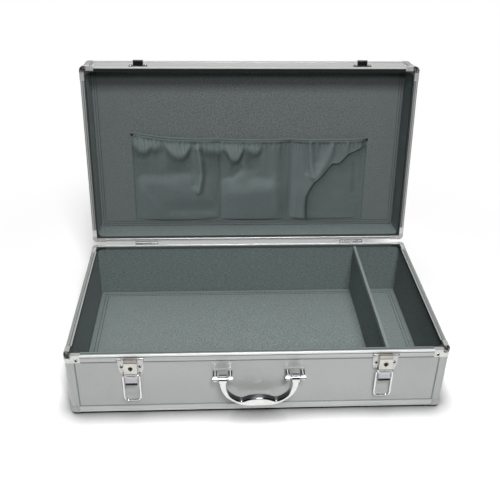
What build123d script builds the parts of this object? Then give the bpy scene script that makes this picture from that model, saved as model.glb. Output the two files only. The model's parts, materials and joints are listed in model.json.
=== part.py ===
"""Aluminium-edged carrying case with its lid open on two hinges.

Millimetres. The origin is the middle of the base's underside, +X is the case's right seen from the front,
+Y its back and +Z up. A tray is one half of the case, drawn with its board side at z = 0 and its rim up: the
base is a tray as drawn, and the lid is a shallower tray turned over onto the base and swung open.
"""
import os

from build123d import *

os.makedirs("parts", exist_ok=True)

# Case
CASE_W = 545.0  # over the aluminium, left to right
CASE_D = 300.0  # over the aluminium, front to back
BASE_H = 108.0  # underside to the top of the base rim
LID_H = 66.0  # lid rim to the outside of the lid
LID_OPEN = 98.0  # degrees from closed to the hinge stop
PARTING = 0.3  # gap between the closed rims

# Sheet, board and lining
SHEET = 1.2  # wall of the aluminium angles and rims
BOARD = 5.0  # laminated board
LINING = 1.0  # fabric on the walls
FLOOR_PAD = 9.0  # padded floor of the base
LID_PAD = 4.0  # padded panel of the lid
PAD_EDGE = 2.0  # rounding of the pads' upper edges
FIT = 0.2  # room round a board's raised face
DIVIDER_IN = 87.5  # middle of the partition from the right end of the case
DIVIDER_X = CASE_W / 2 - DIVIDER_IN
DIVIDER_T = 4.0
DIVIDER_DROP = 2.0  # top of the partition below the rim plane
DIVIDER_FIT = 0.5  # room between the partition's notched ends and the rim's inner lips
DIVIDER_EDGE = 1.5  # rounding of the partition's top

# Aluminium angles and corner caps
ANGLE_LEG = 13.0
BEND_SHARE = 0.9  # inside bend radius as a share of the board
PROUD = 0.6  # how far caps and corner brackets stand out
BEND_IN = BEND_SHARE * BOARD
BEND_OUT = BEND_IN + SHEET

# Rims
RIM_H = 13.0  # outside height of a rim section
RIDGE_W = 2.4  # width of each ridge of the grooved rim
RIDGE_ROUND = 0.6  # rounding of the ridges and the tongue
GROOVE = 2.0  # depth of the groove
TONGUE_SIDE = 0.4  # room at each side of the tongue
TONGUE_TIP = 0.4  # room under the tongue
RIM_LIP = 4.2  # height of the inner lip, from the rim plane
REEDING = 3.4  # height of the fine line below the outer ridge, from the rim plane
REEDING_W = 0.7
REEDING_DEEP = 0.5
RIM_W = 2 * SHEET + BOARD + LINING
RIM_WEB = GROOVE + SHEET  # top of the boards below the rim plane
BRACKET_LEG = 22.0  # length of a rim corner bracket along each side
BRACKET_INNER = 8.0  # inside corner radius of a bracket

# Rivets
RIVET_R = 1.5
RIVET_HEAD_R = 2.5
RIVET_HEAD_H = 1.1
RIVET_L = 5.0  # under the head
RIVET_CLEAR = 0.05
BRACKET_RIVET_IN = 17.0  # corner rivet from the case corner
BRACKET_RIVET_DROP = 8.0  # corner rivet from the rim plane

# Hinges
HINGE_IN = 92.5  # middle of a hinge from the end of the case
HINGE_X = CASE_W / 2 - HINGE_IN
HINGE_W = 38.0
KNUCKLES = 5
KNUCKLE_R = 3.5
KNUCKLE_GAP = 0.3
HINGE_PIN_R = 1.6
LEAF_T = 1.5
LEAF_REACH = 12.5  # from the pin to the edge of a leaf
LEAF_RIVET_X = 11.0
LEAF_RIVET_DROP = 8.0  # from the pin
RUN_CLEAR = 0.05  # radial clearance of every pin that turns
AXLE_HEAD = 1.0  # thickness of the heads on the hinge, latch and handle pins
AXLE_LIP = 0.7  # how far those heads stand out round their pins
HINGE_OUT = KNUCKLE_R + KNUCKLE_GAP  # pin behind the back of the case
HINGE_Y = CASE_D / 2 + HINGE_OUT
HINGE_Z = BASE_H + PARTING / 2

# Latches, with their heights as drops from the top of the base rim
LATCH_IN = 92.0  # middle of a latch from the end of the case
LATCH_X = CASE_W / 2 - LATCH_IN
PLATE_T = 1.2
PLATE_TOP_W = 36.0
PLATE_LOW_W = 29.0
PLATE_LOW_DROP = 33.0
PLATE_LOW_Z = BASE_H - PLATE_LOW_DROP
PLATE_WAIST_DROP = 24.0  # where the plate starts to taper
PLATE_WAIST_Z = BASE_H - PLATE_WAIST_DROP
PLATE_ROUND = 2.0
PLATE_RIVET_X = 13.0
PLATE_RIVET_DROP = 20.0
PLATE_RIVET_Z = BASE_H - PLATE_RIVET_DROP
PLATE_BOSS_R = 3.6
LEVER_PIN_R = 1.1
LEVER_KNUCKLE_R = 2.1
LEVER_OUT = 2.3  # lever pin in front of the case
LEVER_DROP = 6.0
LEVER_Z = BASE_H - LEVER_DROP
LEVER_W = 18.8
LEVER_T = 1.2
LEVER_BEND = 1.0
COVER_OUT = 7.0  # middle of the raised cover, in front of the case
COVER_TOP_DROP = 9.5
COVER_TOP_Z = BASE_H - COVER_TOP_DROP
COVER_LOW_DROP = 28.5
COVER_LOW_Z = BASE_H - COVER_LOW_DROP
TAB_OUT = 5.8
TAB_TOP_DROP = 30.5
TAB_TOP_Z = BASE_H - TAB_TOP_DROP
TAB_BEND_DROP = 39.0
TAB_BEND_Z = BASE_H - TAB_BEND_DROP
TAB_TIP_OUT = 9.0
TAB_TIP_DROP = 47.5
TAB_TIP_Z = BASE_H - TAB_TIP_DROP
TAB_W = 17.0
CHEEK_LOW_DROP = 36.5  # lower end of the lever's side cheeks
CHEEK_LOW_Z = BASE_H - CHEEK_LOW_DROP
CHEEK_IN = 1.8  # back edge of the cheeks, in front of the case
KEYHOLE_DROP = 19.0
KEYHOLE_Z = BASE_H - KEYHOLE_DROP
KEYHOLE_R = 2.0
KEYHOLE_SLOT_W = 1.6
KEYHOLE_SLOT_H = 4.8
LOOP_PIVOT_DROP = 33.5  # wire pivot
LOOP_Z = BASE_H - LOOP_PIVOT_DROP
LOOP_OUT = 5.3  # wire pivot in front of the case
WIRE_R = 1.45
LOOP_W = 23.2  # between the middles of the two legs
LOOP_L = 44.5  # pivot to the middle of the bottom run
LOOP_ROUND = 6.0
LOOP_EYE_ROUND = 2.0
LOOP_EYE_IN = 1.6  # wire end past the cheek's inside
NOTCH_SIDE = 0.4  # room between a wire leg and the plate's knuckle

# Keepers
KEEPER_W = 29.0
KEEPER_LOW = 1.8  # lower edge of the keeper above the lid rim plane
KEEPER_H = 10.6
HOOK_W = 16.0
HOOK_T = 1.4
HOOK_CLEAR = 0.9  # hook to the wire
HOOK_LIP_H = 4.0
HOOK_BEND = 1.0
KEEPER_RIVET_X = 11.6
KEEPER_RIVET_UP = 8.5  # above the lid rim plane

# Handle
HANDLE_SPAN = 103.0  # between the middles of the eyes
HANDLE_PIN_DROP = 34.0
HANDLE_Z = BASE_H - HANDLE_PIN_DROP
HANDLE_OUT = 15.0  # pin in front of the case
HANDLE_T = 11.0
HANDLE_EDGE = 2.8
HANDLE_DROP = 47.5  # pin to the bottom of the grip
GRIP_HUMP = 32.5  # pin to the finger hump
GRIP_HOLLOW = 37.5  # pin to the finger hollows
GRIP_HOLLOW_X = 27.0
SHOULDER_X = 42.5  # outside of the bow's shoulder
SHOULDER_DROP = 35.0
BOW_X = 27.0
BOW_DROP = 44.7
INNER_BOW_X = 38.5
INNER_BOW_DROP = 30.5
EYE_R = 6.2
EYE_W = 10.5
BOW_W = 9.4  # width of the bow where it leaves an eye
HANDLE_PIN_R = 2.2
LUG_T = 5.5
LUG_OFF = 10.8  # middle of a lug from the middle of the eye
LUG_H = 8.0
FOOT_W = 30.0
FOOT_H = 10.0
FOOT_T = 1.6
FOOT_ROUND = 3.0
STUD_R = 2.4

# Lid pocket, in the lid tray's own x and y, with y from the lid's middle towards its front edge
POCKET_SEAMS = (-203.0, -56.0, 72.0, 205.0)
POCKET_UP = 19.0  # bottom of the pocket above the lid's back
POCKET_H = 143.0  # bottom of the pocket to its hem
POCKET_LOW_Y = -CASE_D / 2 + POCKET_UP
POCKET_HEM_Y = POCKET_LOW_Y + POCKET_H
HEM_H = 7.0
HEM_T = 2.2
CLOTH = 1.2
SEAM_W = 6.0
POCKET_MOUTH = (13.0, 12.0, 15.0)  # swell of each compartment at its mouth
POCKET_BELLY = (14.0, 13.0, 15.0)  # and half way down
POCKET_FOOT = 1.0  # and at its bottom seam
MOUTH_PEAK = (0.45, 0.40, 0.80)  # place of the swell across each compartment, as a share of its width
BELLY_PEAK = (0.46, 0.32, 0.42)
FOOT_PEAK = (0.46, 0.40, 0.25)

ALIGNED = 0.9  # least cosine between two directions that count as the same
WALL = SHEET + BOARD  # outside of the case to the inside of the boards
LINED = WALL + LINING
CORNERS = [(sx, sy) for sx in (-1, 1) for sy in (-1, 1)]
FRONT = Plane.XZ.offset(CASE_D / 2)  # outer plane of the front, facing out
HINGE_AXIS = Axis((0, HINGE_Y, HINGE_Z), (1, 0, 0))
# Section planes of the front (-1) and back (1), and of the left and right: x inwards from the edge, y up
LONG_VIEW = {-1: Plane.YZ, 1: Plane(origin=(0, 0, 0), x_dir=(0, -1, 0), z_dir=(-1, 0, 0))}
SHORT_VIEW = {-1: Plane.XZ, 1: Plane(origin=(0, 0, 0), x_dir=(-1, 0, 0), z_dir=(0, 1, 0))}


def save(part, name):
    """Label one finished piece and write it."""
    part.label = name
    export_step(part, f"parts/{name}.step")


def closed(tray_part):
    """Turn a lid tray's piece over onto the base."""
    over = tray_part.rotate(Axis.X, 180)
    return over.moved(Location((0, 0, BASE_H + PARTING + LID_H)))


def opened(closed_part):
    """Swing a piece of the closed lid open to the stop."""
    return closed_part.rotate(HINGE_AXIS, -LID_OPEN)


def front_point(x, out, z):
    """A plane facing out of the front, at a height and a distance in front of the case."""
    return Plane(origin=(x, -CASE_D / 2 - out, z), x_dir=(1, 0, 0), z_dir=(0, -1, 0))


def back_point(x, out, z):
    """A plane facing out of the back, at a height and a distance behind the case."""
    return Plane(origin=(x, CASE_D / 2 + out, z), x_dir=(-1, 0, 0), z_dir=(0, 1, 0))


def side_point(side, y, z):
    """A plane facing out of a side, on the face of a corner bracket."""
    return Plane(origin=(side * (CASE_W / 2 + PROUD), y, z), x_dir=(0, side, 0), z_dir=(side, 0, 0))


# Rivet places
def bracket_rivets(height):
    """Planes of the eight corner bracket rivets of a tray."""
    z = height - BRACKET_RIVET_DROP
    x = CASE_W / 2 - BRACKET_RIVET_IN
    y = CASE_D / 2 - BRACKET_RIVET_IN
    ends = [front_point(s * x, PROUD, z) for s in (-1, 1)] + [back_point(s * x, PROUD, z) for s in (-1, 1)]
    return ends + [side_point(sx, sy * y, z) for sx, sy in CORNERS]


def leaf_rivets(z):
    """Planes of the rivets of both hinges' leaves at one height."""
    places = [side * HINGE_X + step * LEAF_RIVET_X for side in (-1, 1) for step in (-1, 1)]
    return [back_point(x, LEAF_T, z) for x in places]


def pairs(middle, half):
    """The four x places at a half spacing about plus and minus a middle."""
    return [side * middle + step * half for side in (-1, 1) for step in (-1, 1)]


BASE_LEAF_RIVETS = leaf_rivets(HINGE_Z - LEAF_RIVET_DROP)
LID_LEAF_RIVETS = leaf_rivets(HINGE_Z + LEAF_RIVET_DROP)
LATCH_RIVETS = [front_point(x, PLATE_T, PLATE_RIVET_Z) for x in pairs(LATCH_X, PLATE_RIVET_X)]
KEEPER_RIVET_Z = BASE_H + PARTING + KEEPER_RIVET_UP
KEEPER_RIVETS = [front_point(x, PLATE_T, KEEPER_RIVET_Z) for x in pairs(LATCH_X, KEEPER_RIVET_X)]


def rivet():
    """One domed rivet, its head's underside at z = 0."""
    with BuildPart() as piece:
        with BuildSketch(Plane.XZ):
            with BuildLine():
                Polyline((0, RIVET_HEAD_H), (0, -RIVET_L), (RIVET_R, -RIVET_L), (RIVET_R, 0), (RIVET_HEAD_R, 0))
                RadiusArc((RIVET_HEAD_R, 0), (0, RIVET_HEAD_H), -dome_radius())
            make_face()
        revolve(axis=Axis.Z)
    return piece.part


def dome_radius():
    """Radius of the sphere that a rivet head is a cap of."""
    return (RIVET_HEAD_R**2 + RIVET_HEAD_H**2) / (2 * RIVET_HEAD_H)


def rivets(planes):
    """A group of rivets, one on each plane."""
    with BuildPart() as group:
        with Locations(*planes):
            add(rivet())
    return group.part


def drill(planes):
    """Cut rivet holes at the planes, in the part being built."""
    with Locations(*planes):
        Cylinder(RIVET_R + RIVET_CLEAR, 2 * RIVET_L + 2 * RIVET_HEAD_H, mode=Mode.SUBTRACT)


# Sections shared by both trays
def angle_section(x, y, sx, sy):
    """Draw an aluminium angle with its outside corner at (x, y) and its legs towards (sx, sy)."""
    with BuildLine() as outline:
        FilletPolyline((x + sx * ANGLE_LEG, y), (x, y), (x, y + sy * ANGLE_LEG), radius=BEND_OUT)
        Line((x, y + sy * ANGLE_LEG), (x + sx * SHEET, y + sy * ANGLE_LEG))
        FilletPolyline(
            (x + sx * SHEET, y + sy * ANGLE_LEG),
            (x + sx * SHEET, y + sy * SHEET),
            (x + sx * ANGLE_LEG, y + sy * SHEET),
            radius=BEND_IN,
        )
        Line((x + sx * ANGLE_LEG, y + sy * SHEET), (x + sx * ANGLE_LEG, y))
    make_face(outline.edges())


def rim_section(edge, top, tongue):
    """Draw a rim section with its outer face at x = edge and its rim plane at y = top."""
    channel = [
        (edge + RIM_W, top),
        (edge + RIM_W, top - RIM_LIP),
        (edge + RIM_W - SHEET, top - RIM_LIP),
        (edge + RIM_W - SHEET, top - RIM_WEB),
        (edge + SHEET, top - RIM_WEB),
        (edge + SHEET, top - RIM_H),
        (edge, top - RIM_H),
        (edge, top - REEDING - REEDING_W),
        (edge + REEDING_DEEP, top - REEDING - REEDING_W),
        (edge + REEDING_DEEP, top - REEDING),
        (edge, top - REEDING),
        (edge, top),
    ]
    if tongue:
        first, last = RIDGE_W + TONGUE_SIDE, RIM_W - RIDGE_W - TONGUE_SIDE
        middle = top + GROOVE - TONGUE_TIP
    else:
        first, last = RIDGE_W, RIM_W - RIDGE_W
        middle = top - GROOVE
    ridge = [(edge + first, top), (edge + first, middle), (edge + last, middle), (edge + last, top)]
    with BuildLine() as outline:
        Polyline(*channel, *ridge, close=True)
    make_face(outline.edges())
    fillet(vertices().group_by(Axis.Y)[-1], RIDGE_ROUND)


# Boards
def floor_board():
    """Floor of a tray, with a raised outer face that lies flush with the angles."""
    with BuildPart() as board:
        with BuildSketch(Plane.XY.offset(SHEET)):
            Rectangle(CASE_W - 2 * WALL, CASE_D - 2 * WALL)
        extrude(amount=BOARD)
        with BuildSketch():
            Rectangle(CASE_W - 2 * (ANGLE_LEG + FIT), CASE_D - 2 * (ANGLE_LEG + FIT))
        extrude(amount=SHEET)
    return board.part


def long_board(height, side, holes):
    """Front (-1) or back (1) board of a tray, over its whole width, rounded outside to sit in the angles."""
    with BuildPart() as board:
        with BuildSketch(Plane.XY.offset(SHEET)):
            with Locations((0, side * (CASE_D / 2 - SHEET - BOARD / 2))):
                Rectangle(CASE_W - 2 * SHEET, BOARD)
        extrude(amount=height - RIM_WEB - SHEET)
        corners = board.faces().sort_by(Axis.Y)[0 if side < 0 else -1].edges().filter_by(Axis.Z)
        under = board.faces().sort_by(Axis.Z)[0].edges()
        inside = under.filter_by(Axis.X).sort_by(Axis.Y)[-1 if side < 0 else 0]
        fillet(corners + [edge for edge in under if edge != inside], BEND_IN)
        drill(holes)
    return board.part


def side_board(height, side, holes):
    """Side board of a tray, between the long boards."""
    with BuildPart() as board:
        with BuildSketch(Plane.XY.offset(SHEET)):
            with Locations((side * (CASE_W / 2 - SHEET - BOARD / 2), 0)):
                Rectangle(BOARD, CASE_D - 2 * WALL)
        extrude(amount=height - RIM_WEB - SHEET)
        outside = board.faces().sort_by(Axis.X)[0 if side < 0 else -1].edges()
        fillet(outside.sort_by(Axis.Z)[0], BEND_IN)
        drill(holes)
    return board.part


# Aluminium edges
def long_edge(side):
    """Bottom angle along the front (-1) or back (1) of a tray."""
    with BuildPart() as edge:
        with BuildSketch(Plane.YZ):
            angle_section(side * CASE_D / 2, 0, -side, 1)
        extrude(amount=CASE_W / 2 - ANGLE_LEG, both=True)
    return edge.part


def short_edge(side):
    """Bottom angle along the left (-1) or right (1) of a tray."""
    with BuildPart() as edge:
        with BuildSketch(Plane.XZ):
            angle_section(side * CASE_W / 2, 0, -side, 1)
        extrude(amount=CASE_D / 2 - ANGLE_LEG, both=True)
    return edge.part


def corner_angles(height):
    """The four upright angles of a tray, from the caps to the rim brackets."""
    with BuildPart() as angles:
        with BuildSketch(Plane.XY.offset(ANGLE_LEG)):
            for sx, sy in CORNERS:
                angle_section(sx * CASE_W / 2, sy * CASE_D / 2, -sx, -sy)
        extrude(amount=height - RIM_H - ANGLE_LEG)
    return angles.part


def keep_corners(leg, low, high):
    """Cut the part being built down to its four corners, each a leg long."""
    with BuildSketch(Plane.XY.offset(low)) as kept:
        with GridLocations(CASE_W + PROUD - leg, CASE_D + PROUD - leg, 2, 2):
            Rectangle(leg + PROUD, leg + PROUD)
    extrude(kept.sketch, amount=high - low, mode=Mode.INTERSECT)


def corner_caps():
    """The four three-way caps at a tray's outer corners."""
    with BuildPart() as hollow:
        with BuildSketch(Plane.XY.offset(SHEET)):
            RectangleRounded(CASE_W - 2 * SHEET, CASE_D - 2 * SHEET, BEND_IN)
        extrude(amount=ANGLE_LEG)
        fillet(hollow.faces().sort_by(Axis.Z)[0].edges(), BEND_SHARE * BEND_IN)
    with BuildPart() as caps:
        with BuildSketch():
            RectangleRounded(CASE_W + 2 * PROUD, CASE_D + 2 * PROUD, BEND_OUT + PROUD)
        extrude(amount=ANGLE_LEG)
        fillet(caps.faces().sort_by(Axis.Z)[0].edges(), BEND_SHARE * BEND_OUT)
        add(hollow.part, mode=Mode.SUBTRACT)
        keep_corners(ANGLE_LEG, 0, ANGLE_LEG)
    return caps.part


# Rims
def long_rim(height, side, tongue, holes=()):
    """Rim section along the front (-1) or back (1) of a tray, between the corner brackets."""
    with BuildPart() as rim:
        with BuildSketch(LONG_VIEW[side]):
            rim_section(-CASE_D / 2, height, tongue)
        extrude(amount=CASE_W / 2 - BRACKET_LEG, both=True)
        if holes:
            drill(holes)
    return rim.part


def short_rim(height, side, tongue):
    """Rim section along the left (-1) or right (1) of a tray, between the corner brackets."""
    with BuildPart() as rim:
        with BuildSketch(SHORT_VIEW[side]):
            rim_section(-CASE_W / 2, height, tongue)
        extrude(amount=CASE_D / 2 - BRACKET_LEG, both=True)
    return rim.part


def ring(low, high, outer, outer_round, inner, inner_round):
    """Add a rounded rectangular ring between two insets from the case's outside."""
    with BuildSketch(Plane.XY.offset(low)) as band:
        RectangleRounded(CASE_W - 2 * outer, CASE_D - 2 * outer, outer_round)
        RectangleRounded(CASE_W - 2 * inner, CASE_D - 2 * inner, inner_round, mode=Mode.SUBTRACT)
    extrude(band.sketch, amount=high - low)


def rim_corners(height, holes):
    """The four brackets that join a tray's rim sections."""
    with BuildPart() as brackets:
        ring(height - RIM_H, height, -PROUD, BEND_OUT + PROUD, SHEET, BEND_IN)
        ring(height - RIM_WEB, height, -PROUD, BEND_OUT + PROUD, RIM_W, BRACKET_INNER)
        ring(height - RIM_LIP, height, RIM_W - SHEET, BRACKET_INNER + SHEET, RIM_W, BRACKET_INNER)
        keep_corners(BRACKET_LEG, height - RIM_H, height)
        drill(holes)
    return brackets.part


# Lining
def wall_lining(height):
    """Fabric on a tray's four walls, from its floor board to its rim."""
    with BuildPart() as lining:
        with BuildSketch(Plane.XY.offset(WALL)):
            Rectangle(CASE_W - 2 * WALL, CASE_D - 2 * WALL)
            Rectangle(CASE_W - 2 * LINED, CASE_D - 2 * LINED, mode=Mode.SUBTRACT)
        extrude(amount=height - RIM_WEB - WALL)
    return lining.part


def pad(thickness):
    """Padded panel on a tray's floor board, with its upper edges rounded."""
    with BuildPart() as panel:
        with BuildSketch(Plane.XY.offset(WALL)):
            Rectangle(CASE_W - 2 * LINED, CASE_D - 2 * LINED)
        extrude(amount=thickness)
        fillet(panel.faces().sort_by(Axis.Z)[-1].edges(), PAD_EDGE)
    return panel.part


def divider():
    """Fabric-covered partition on the floor pad between the front and back lining, notched under the rim's lips."""
    low = WALL + FLOOR_PAD
    shoulder = BASE_H - RIM_LIP - DIVIDER_FIT
    with BuildPart() as partition:
        with BuildSketch(Plane.XY.offset(low)):
            with Locations((DIVIDER_X, 0)):
                Rectangle(DIVIDER_T, CASE_D - 2 * LINED)
        extrude(amount=shoulder - low)
        with BuildSketch(Plane.XY.offset(shoulder)):
            with Locations((DIVIDER_X, 0)):
                Rectangle(DIVIDER_T, CASE_D - 2 * (RIM_W + DIVIDER_FIT))
        extrude(amount=BASE_H - DIVIDER_DROP - shoulder)
        fillet(partition.faces().sort_by(Axis.Z)[-1].edges().filter_by(Axis.Y), DIVIDER_EDGE)
    return partition.part


# Hinges
def knuckle_span(index):
    """Left and right end of one knuckle, from the hinge's middle."""
    pitch = HINGE_W / KNUCKLES
    left = -HINGE_W / 2 + index * pitch
    return left + KNUCKLE_GAP / 2, left + pitch - KNUCKLE_GAP / 2


def hinge_leaf(middle, up, holes):
    """One hinge leaf on the back of the case: up is -1 for the base's and 1 for the lid's, drawn closed."""
    clear = KNUCKLE_R + KNUCKLE_GAP
    start = (clear**2 - (HINGE_OUT - LEAF_T) ** 2) ** 0.5
    own = range(0, KNUCKLES, 2) if up < 0 else range(1, KNUCKLES, 2)
    with BuildPart() as leaf:
        with BuildSketch(Plane.YZ.offset(middle)):
            with Locations((CASE_D / 2 + LEAF_T / 2, HINGE_Z + up * (start + LEAF_REACH) / 2)):
                Rectangle(LEAF_T, LEAF_REACH - start)
        extrude(amount=HINGE_W / 2, both=True)
        for index in own:
            left, right = knuckle_span(index)
            with BuildSketch(Plane.YZ.offset(middle + left)):
                with Locations((HINGE_Y, HINGE_Z)):
                    Circle(KNUCKLE_R)
                with Locations((CASE_D / 2 + LEAF_T / 2, HINGE_Z + up * (start + LEAF_T) / 2)):
                    Rectangle(LEAF_T, start + LEAF_T)
            extrude(amount=right - left)
        with BuildSketch(Plane.YZ.offset(middle)):
            with Locations((HINGE_Y, HINGE_Z)):
                Circle(HINGE_PIN_R + RUN_CLEAR)
        extrude(amount=HINGE_W, both=True, mode=Mode.SUBTRACT)
        drill([plane for plane in holes if abs(plane.origin.X - middle) < HINGE_W / 2])
    return leaf.part


def headed_pins(middles, y, z, radius, length):
    """Pins along X with a flat head past each end of a length, one at each middle."""
    with BuildPart() as pins:
        for middle in middles:
            with BuildSketch(Plane.YZ.offset(middle)):
                with Locations((y, z)):
                    Circle(radius)
            extrude(amount=length / 2, both=True)
            for side in (-1, 1):
                with BuildSketch(Plane.YZ.offset(middle + side * length / 2)):
                    with Locations((y, z)):
                        Circle(radius + AXLE_LIP)
                extrude(amount=side * AXLE_HEAD)
    return pins.part


# Latches
def across(middle, width):
    """The two ends of a width about a middle."""
    return middle - width / 2, middle + width / 2


def latch_plate(middle, holes):
    """Latch body: a tapering plate with a knuckle for the lever pin at each upper corner."""
    notch = LOOP_W / 2 + WIRE_R + NOTCH_SIDE
    shoulder = LEVER_Z - LEVER_KNUCKLE_R - KNUCKLE_GAP
    with BuildPart() as plate:
        with BuildSketch(FRONT):
            with BuildLine():
                Polyline(
                    (middle - PLATE_TOP_W / 2, LEVER_Z),
                    (middle - PLATE_TOP_W / 2, PLATE_WAIST_Z),
                    (middle - PLATE_LOW_W / 2, PLATE_LOW_Z),
                    (middle + PLATE_LOW_W / 2, PLATE_LOW_Z),
                    (middle + PLATE_TOP_W / 2, PLATE_WAIST_Z),
                    (middle + PLATE_TOP_W / 2, LEVER_Z),
                    (middle + notch, LEVER_Z),
                    (middle + notch, shoulder),
                    (middle - notch, shoulder),
                    (middle - notch, LEVER_Z),
                    close=True,
                )
            make_face()
            fillet(vertices().group_by(Axis.Y)[0], PLATE_ROUND)
        extrude(amount=PLATE_T)
        with BuildSketch(FRONT):
            with Locations(*[(middle + s * PLATE_RIVET_X, PLATE_RIVET_Z) for s in (-1, 1)]):
                Circle(PLATE_BOSS_R)
        extrude(amount=-SHEET)
        for side in (-1, 1):
            with BuildSketch(Plane.YZ.offset(middle + side * notch)):
                with Locations((-CASE_D / 2 - LEVER_OUT, LEVER_Z)):
                    Circle(LEVER_KNUCKLE_R)
            extrude(amount=side * (PLATE_TOP_W / 2 - notch))
        with BuildSketch(Plane.YZ.offset(middle)):
            with Locations((-CASE_D / 2 - LEVER_OUT, LEVER_Z)):
                Circle(LEVER_PIN_R + RUN_CLEAR)
        extrude(amount=PLATE_TOP_W, both=True, mode=Mode.SUBTRACT)
        drill([plane for plane in holes if abs(plane.origin.X - middle) < PLATE_TOP_W])
    return plate.part


def latch_side(middle):
    """Side view plane of a latch: x is the distance in front of the case and y the height."""
    return Plane(origin=(middle, -CASE_D / 2, 0), x_dir=(0, -1, 0), z_dir=(-1, 0, 0))


def latch_lever(middle):
    """Latch lever: knuckle, raised cover with a keyhole, two cheeks that carry the wire, and a finger tab."""
    cover = [(LEVER_OUT, LEVER_Z + LEVER_KNUCKLE_R - LEVER_T / 2), (COVER_OUT, COVER_TOP_Z)]
    cover += [(COVER_OUT, COVER_LOW_Z), (TAB_OUT, TAB_TOP_Z)]
    tab = [(COVER_OUT, COVER_LOW_Z), (TAB_OUT, TAB_TOP_Z), (TAB_OUT, TAB_BEND_Z), (TAB_TIP_OUT, TAB_TIP_Z)]
    side = latch_side(middle)
    with BuildPart() as lever:
        for path, width in ((cover, LEVER_W), (tab, TAB_W)):
            with BuildSketch(side):
                with BuildLine() as run:
                    FilletPolyline(*path, radius=LEVER_BEND)
                trace(run.line, line_width=LEVER_T)
            extrude(amount=width / 2, both=True)
        with BuildSketch(side):
            with Locations((LEVER_OUT, LEVER_Z)):
                Circle(LEVER_KNUCKLE_R)
        extrude(amount=LEVER_W / 2, both=True)
        for hand in (-1, 1):
            with BuildSketch(side.offset(hand * (LEVER_W / 2 - LEVER_T))):
                with BuildLine():
                    Polyline(
                        (CHEEK_IN, COVER_TOP_Z),
                        (COVER_OUT, COVER_TOP_Z),
                        (COVER_OUT, CHEEK_LOW_Z),
                        (CHEEK_IN + LEVER_T, CHEEK_LOW_Z),
                        (CHEEK_IN, COVER_LOW_Z),
                        close=True,
                    )
                make_face()
            extrude(amount=hand * LEVER_T)
        with BuildSketch(side):
            with Locations((LEVER_OUT, LEVER_Z)):
                Circle(LEVER_PIN_R + RUN_CLEAR)
            with Locations((LOOP_OUT, LOOP_Z)):
                Circle(WIRE_R + RUN_CLEAR)
        extrude(amount=LEVER_W, both=True, mode=Mode.SUBTRACT)
        with BuildSketch(FRONT.offset(COVER_OUT)):
            with Locations((middle, KEYHOLE_Z)):
                Circle(KEYHOLE_R)
            with Locations((middle, KEYHOLE_Z - KEYHOLE_SLOT_H / 2)):
                Rectangle(KEYHOLE_SLOT_W, KEYHOLE_SLOT_H)
        extrude(amount=LEVER_T, both=True, mode=Mode.SUBTRACT)
    return lever.part


def latch_loop(middle):
    """Wire loop that hangs from the lever's cheeks by its turned-in ends."""
    left, right = across(middle, LOOP_W)
    first, last = across(middle, LEVER_W - 2 * LEVER_T - 2 * LOOP_EYE_IN)
    low = LOOP_Z - LOOP_L
    with BuildPart() as loop:
        with BuildLine(FRONT.offset(LOOP_OUT)) as wire:
            FilletPolyline(
                (first, LOOP_Z),
                (left, LOOP_Z),
                (left, low),
                (right, low),
                (right, LOOP_Z),
                (last, LOOP_Z),
                radius=(LOOP_EYE_ROUND, LOOP_ROUND, LOOP_ROUND, LOOP_EYE_ROUND),
            )
        with BuildSketch(Plane.YZ.offset(first)):
            with Locations((-CASE_D / 2 - LOOP_OUT, LOOP_Z)):
                Circle(WIRE_R)
        sweep(path=wire.line)
    return loop.part


def keeper(middle, holes):
    """Hook on the lid's front, drawn with the lid closed, that the wire loop pulls down on."""
    low = BASE_H + PARTING + KEEPER_LOW
    wire_z = LOOP_Z + LOOP_L
    shelf_z = wire_z - WIRE_R - HOOK_CLEAR - HOOK_T / 2
    lip_out = LOOP_OUT + WIRE_R + HOOK_CLEAR + HOOK_T / 2
    with BuildPart() as hook:
        with BuildSketch(FRONT):
            with Locations((middle, low + KEEPER_H / 2)):
                RectangleRounded(KEEPER_W, KEEPER_H, PLATE_ROUND)
        extrude(amount=PLATE_T)
        with BuildSketch(latch_side(middle)):
            with BuildLine() as run:
                FilletPolyline(
                    (PLATE_T / 2, shelf_z), (lip_out, shelf_z), (lip_out, shelf_z + HOOK_LIP_H), radius=HOOK_BEND
                )
            trace(run.line, line_width=HOOK_T)
        extrude(amount=HOOK_W / 2, both=True)
        drill([plane for plane in holes if abs(plane.origin.X - middle) < KEEPER_W])
    return hook.part


# Handle
def handle_bracket(middle):
    """Foot with two lugs for the handle pin, and two studs through the front board."""
    lugs = [middle - LUG_OFF, middle + LUG_OFF]
    with BuildPart() as bracket:
        with BuildSketch(FRONT.offset(-SHEET)):
            with Locations((middle, HANDLE_Z)):
                RectangleRounded(FOOT_W, FOOT_H, FOOT_ROUND)
        extrude(amount=FOOT_T)
        for lug in lugs:
            with BuildSketch(latch_side(lug)):
                with Locations((HANDLE_OUT, HANDLE_Z)):
                    Circle(LUG_H / 2)
                with Locations(((HANDLE_OUT - SHEET) / 2, HANDLE_Z)):
                    Rectangle(HANDLE_OUT + SHEET, LUG_H)
            extrude(amount=LUG_T / 2, both=True)
        with BuildSketch(latch_side(middle)):
            with Locations((HANDLE_OUT, HANDLE_Z)):
                Circle(HANDLE_PIN_R + RUN_CLEAR)
        extrude(amount=FOOT_W, both=True, mode=Mode.SUBTRACT)
        with BuildSketch(FRONT.offset(-SHEET)):
            with Locations(*[(lug, HANDLE_Z) for lug in lugs]):
                Circle(STUD_R)
        extrude(amount=-BOARD)
    return bracket.part


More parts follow.
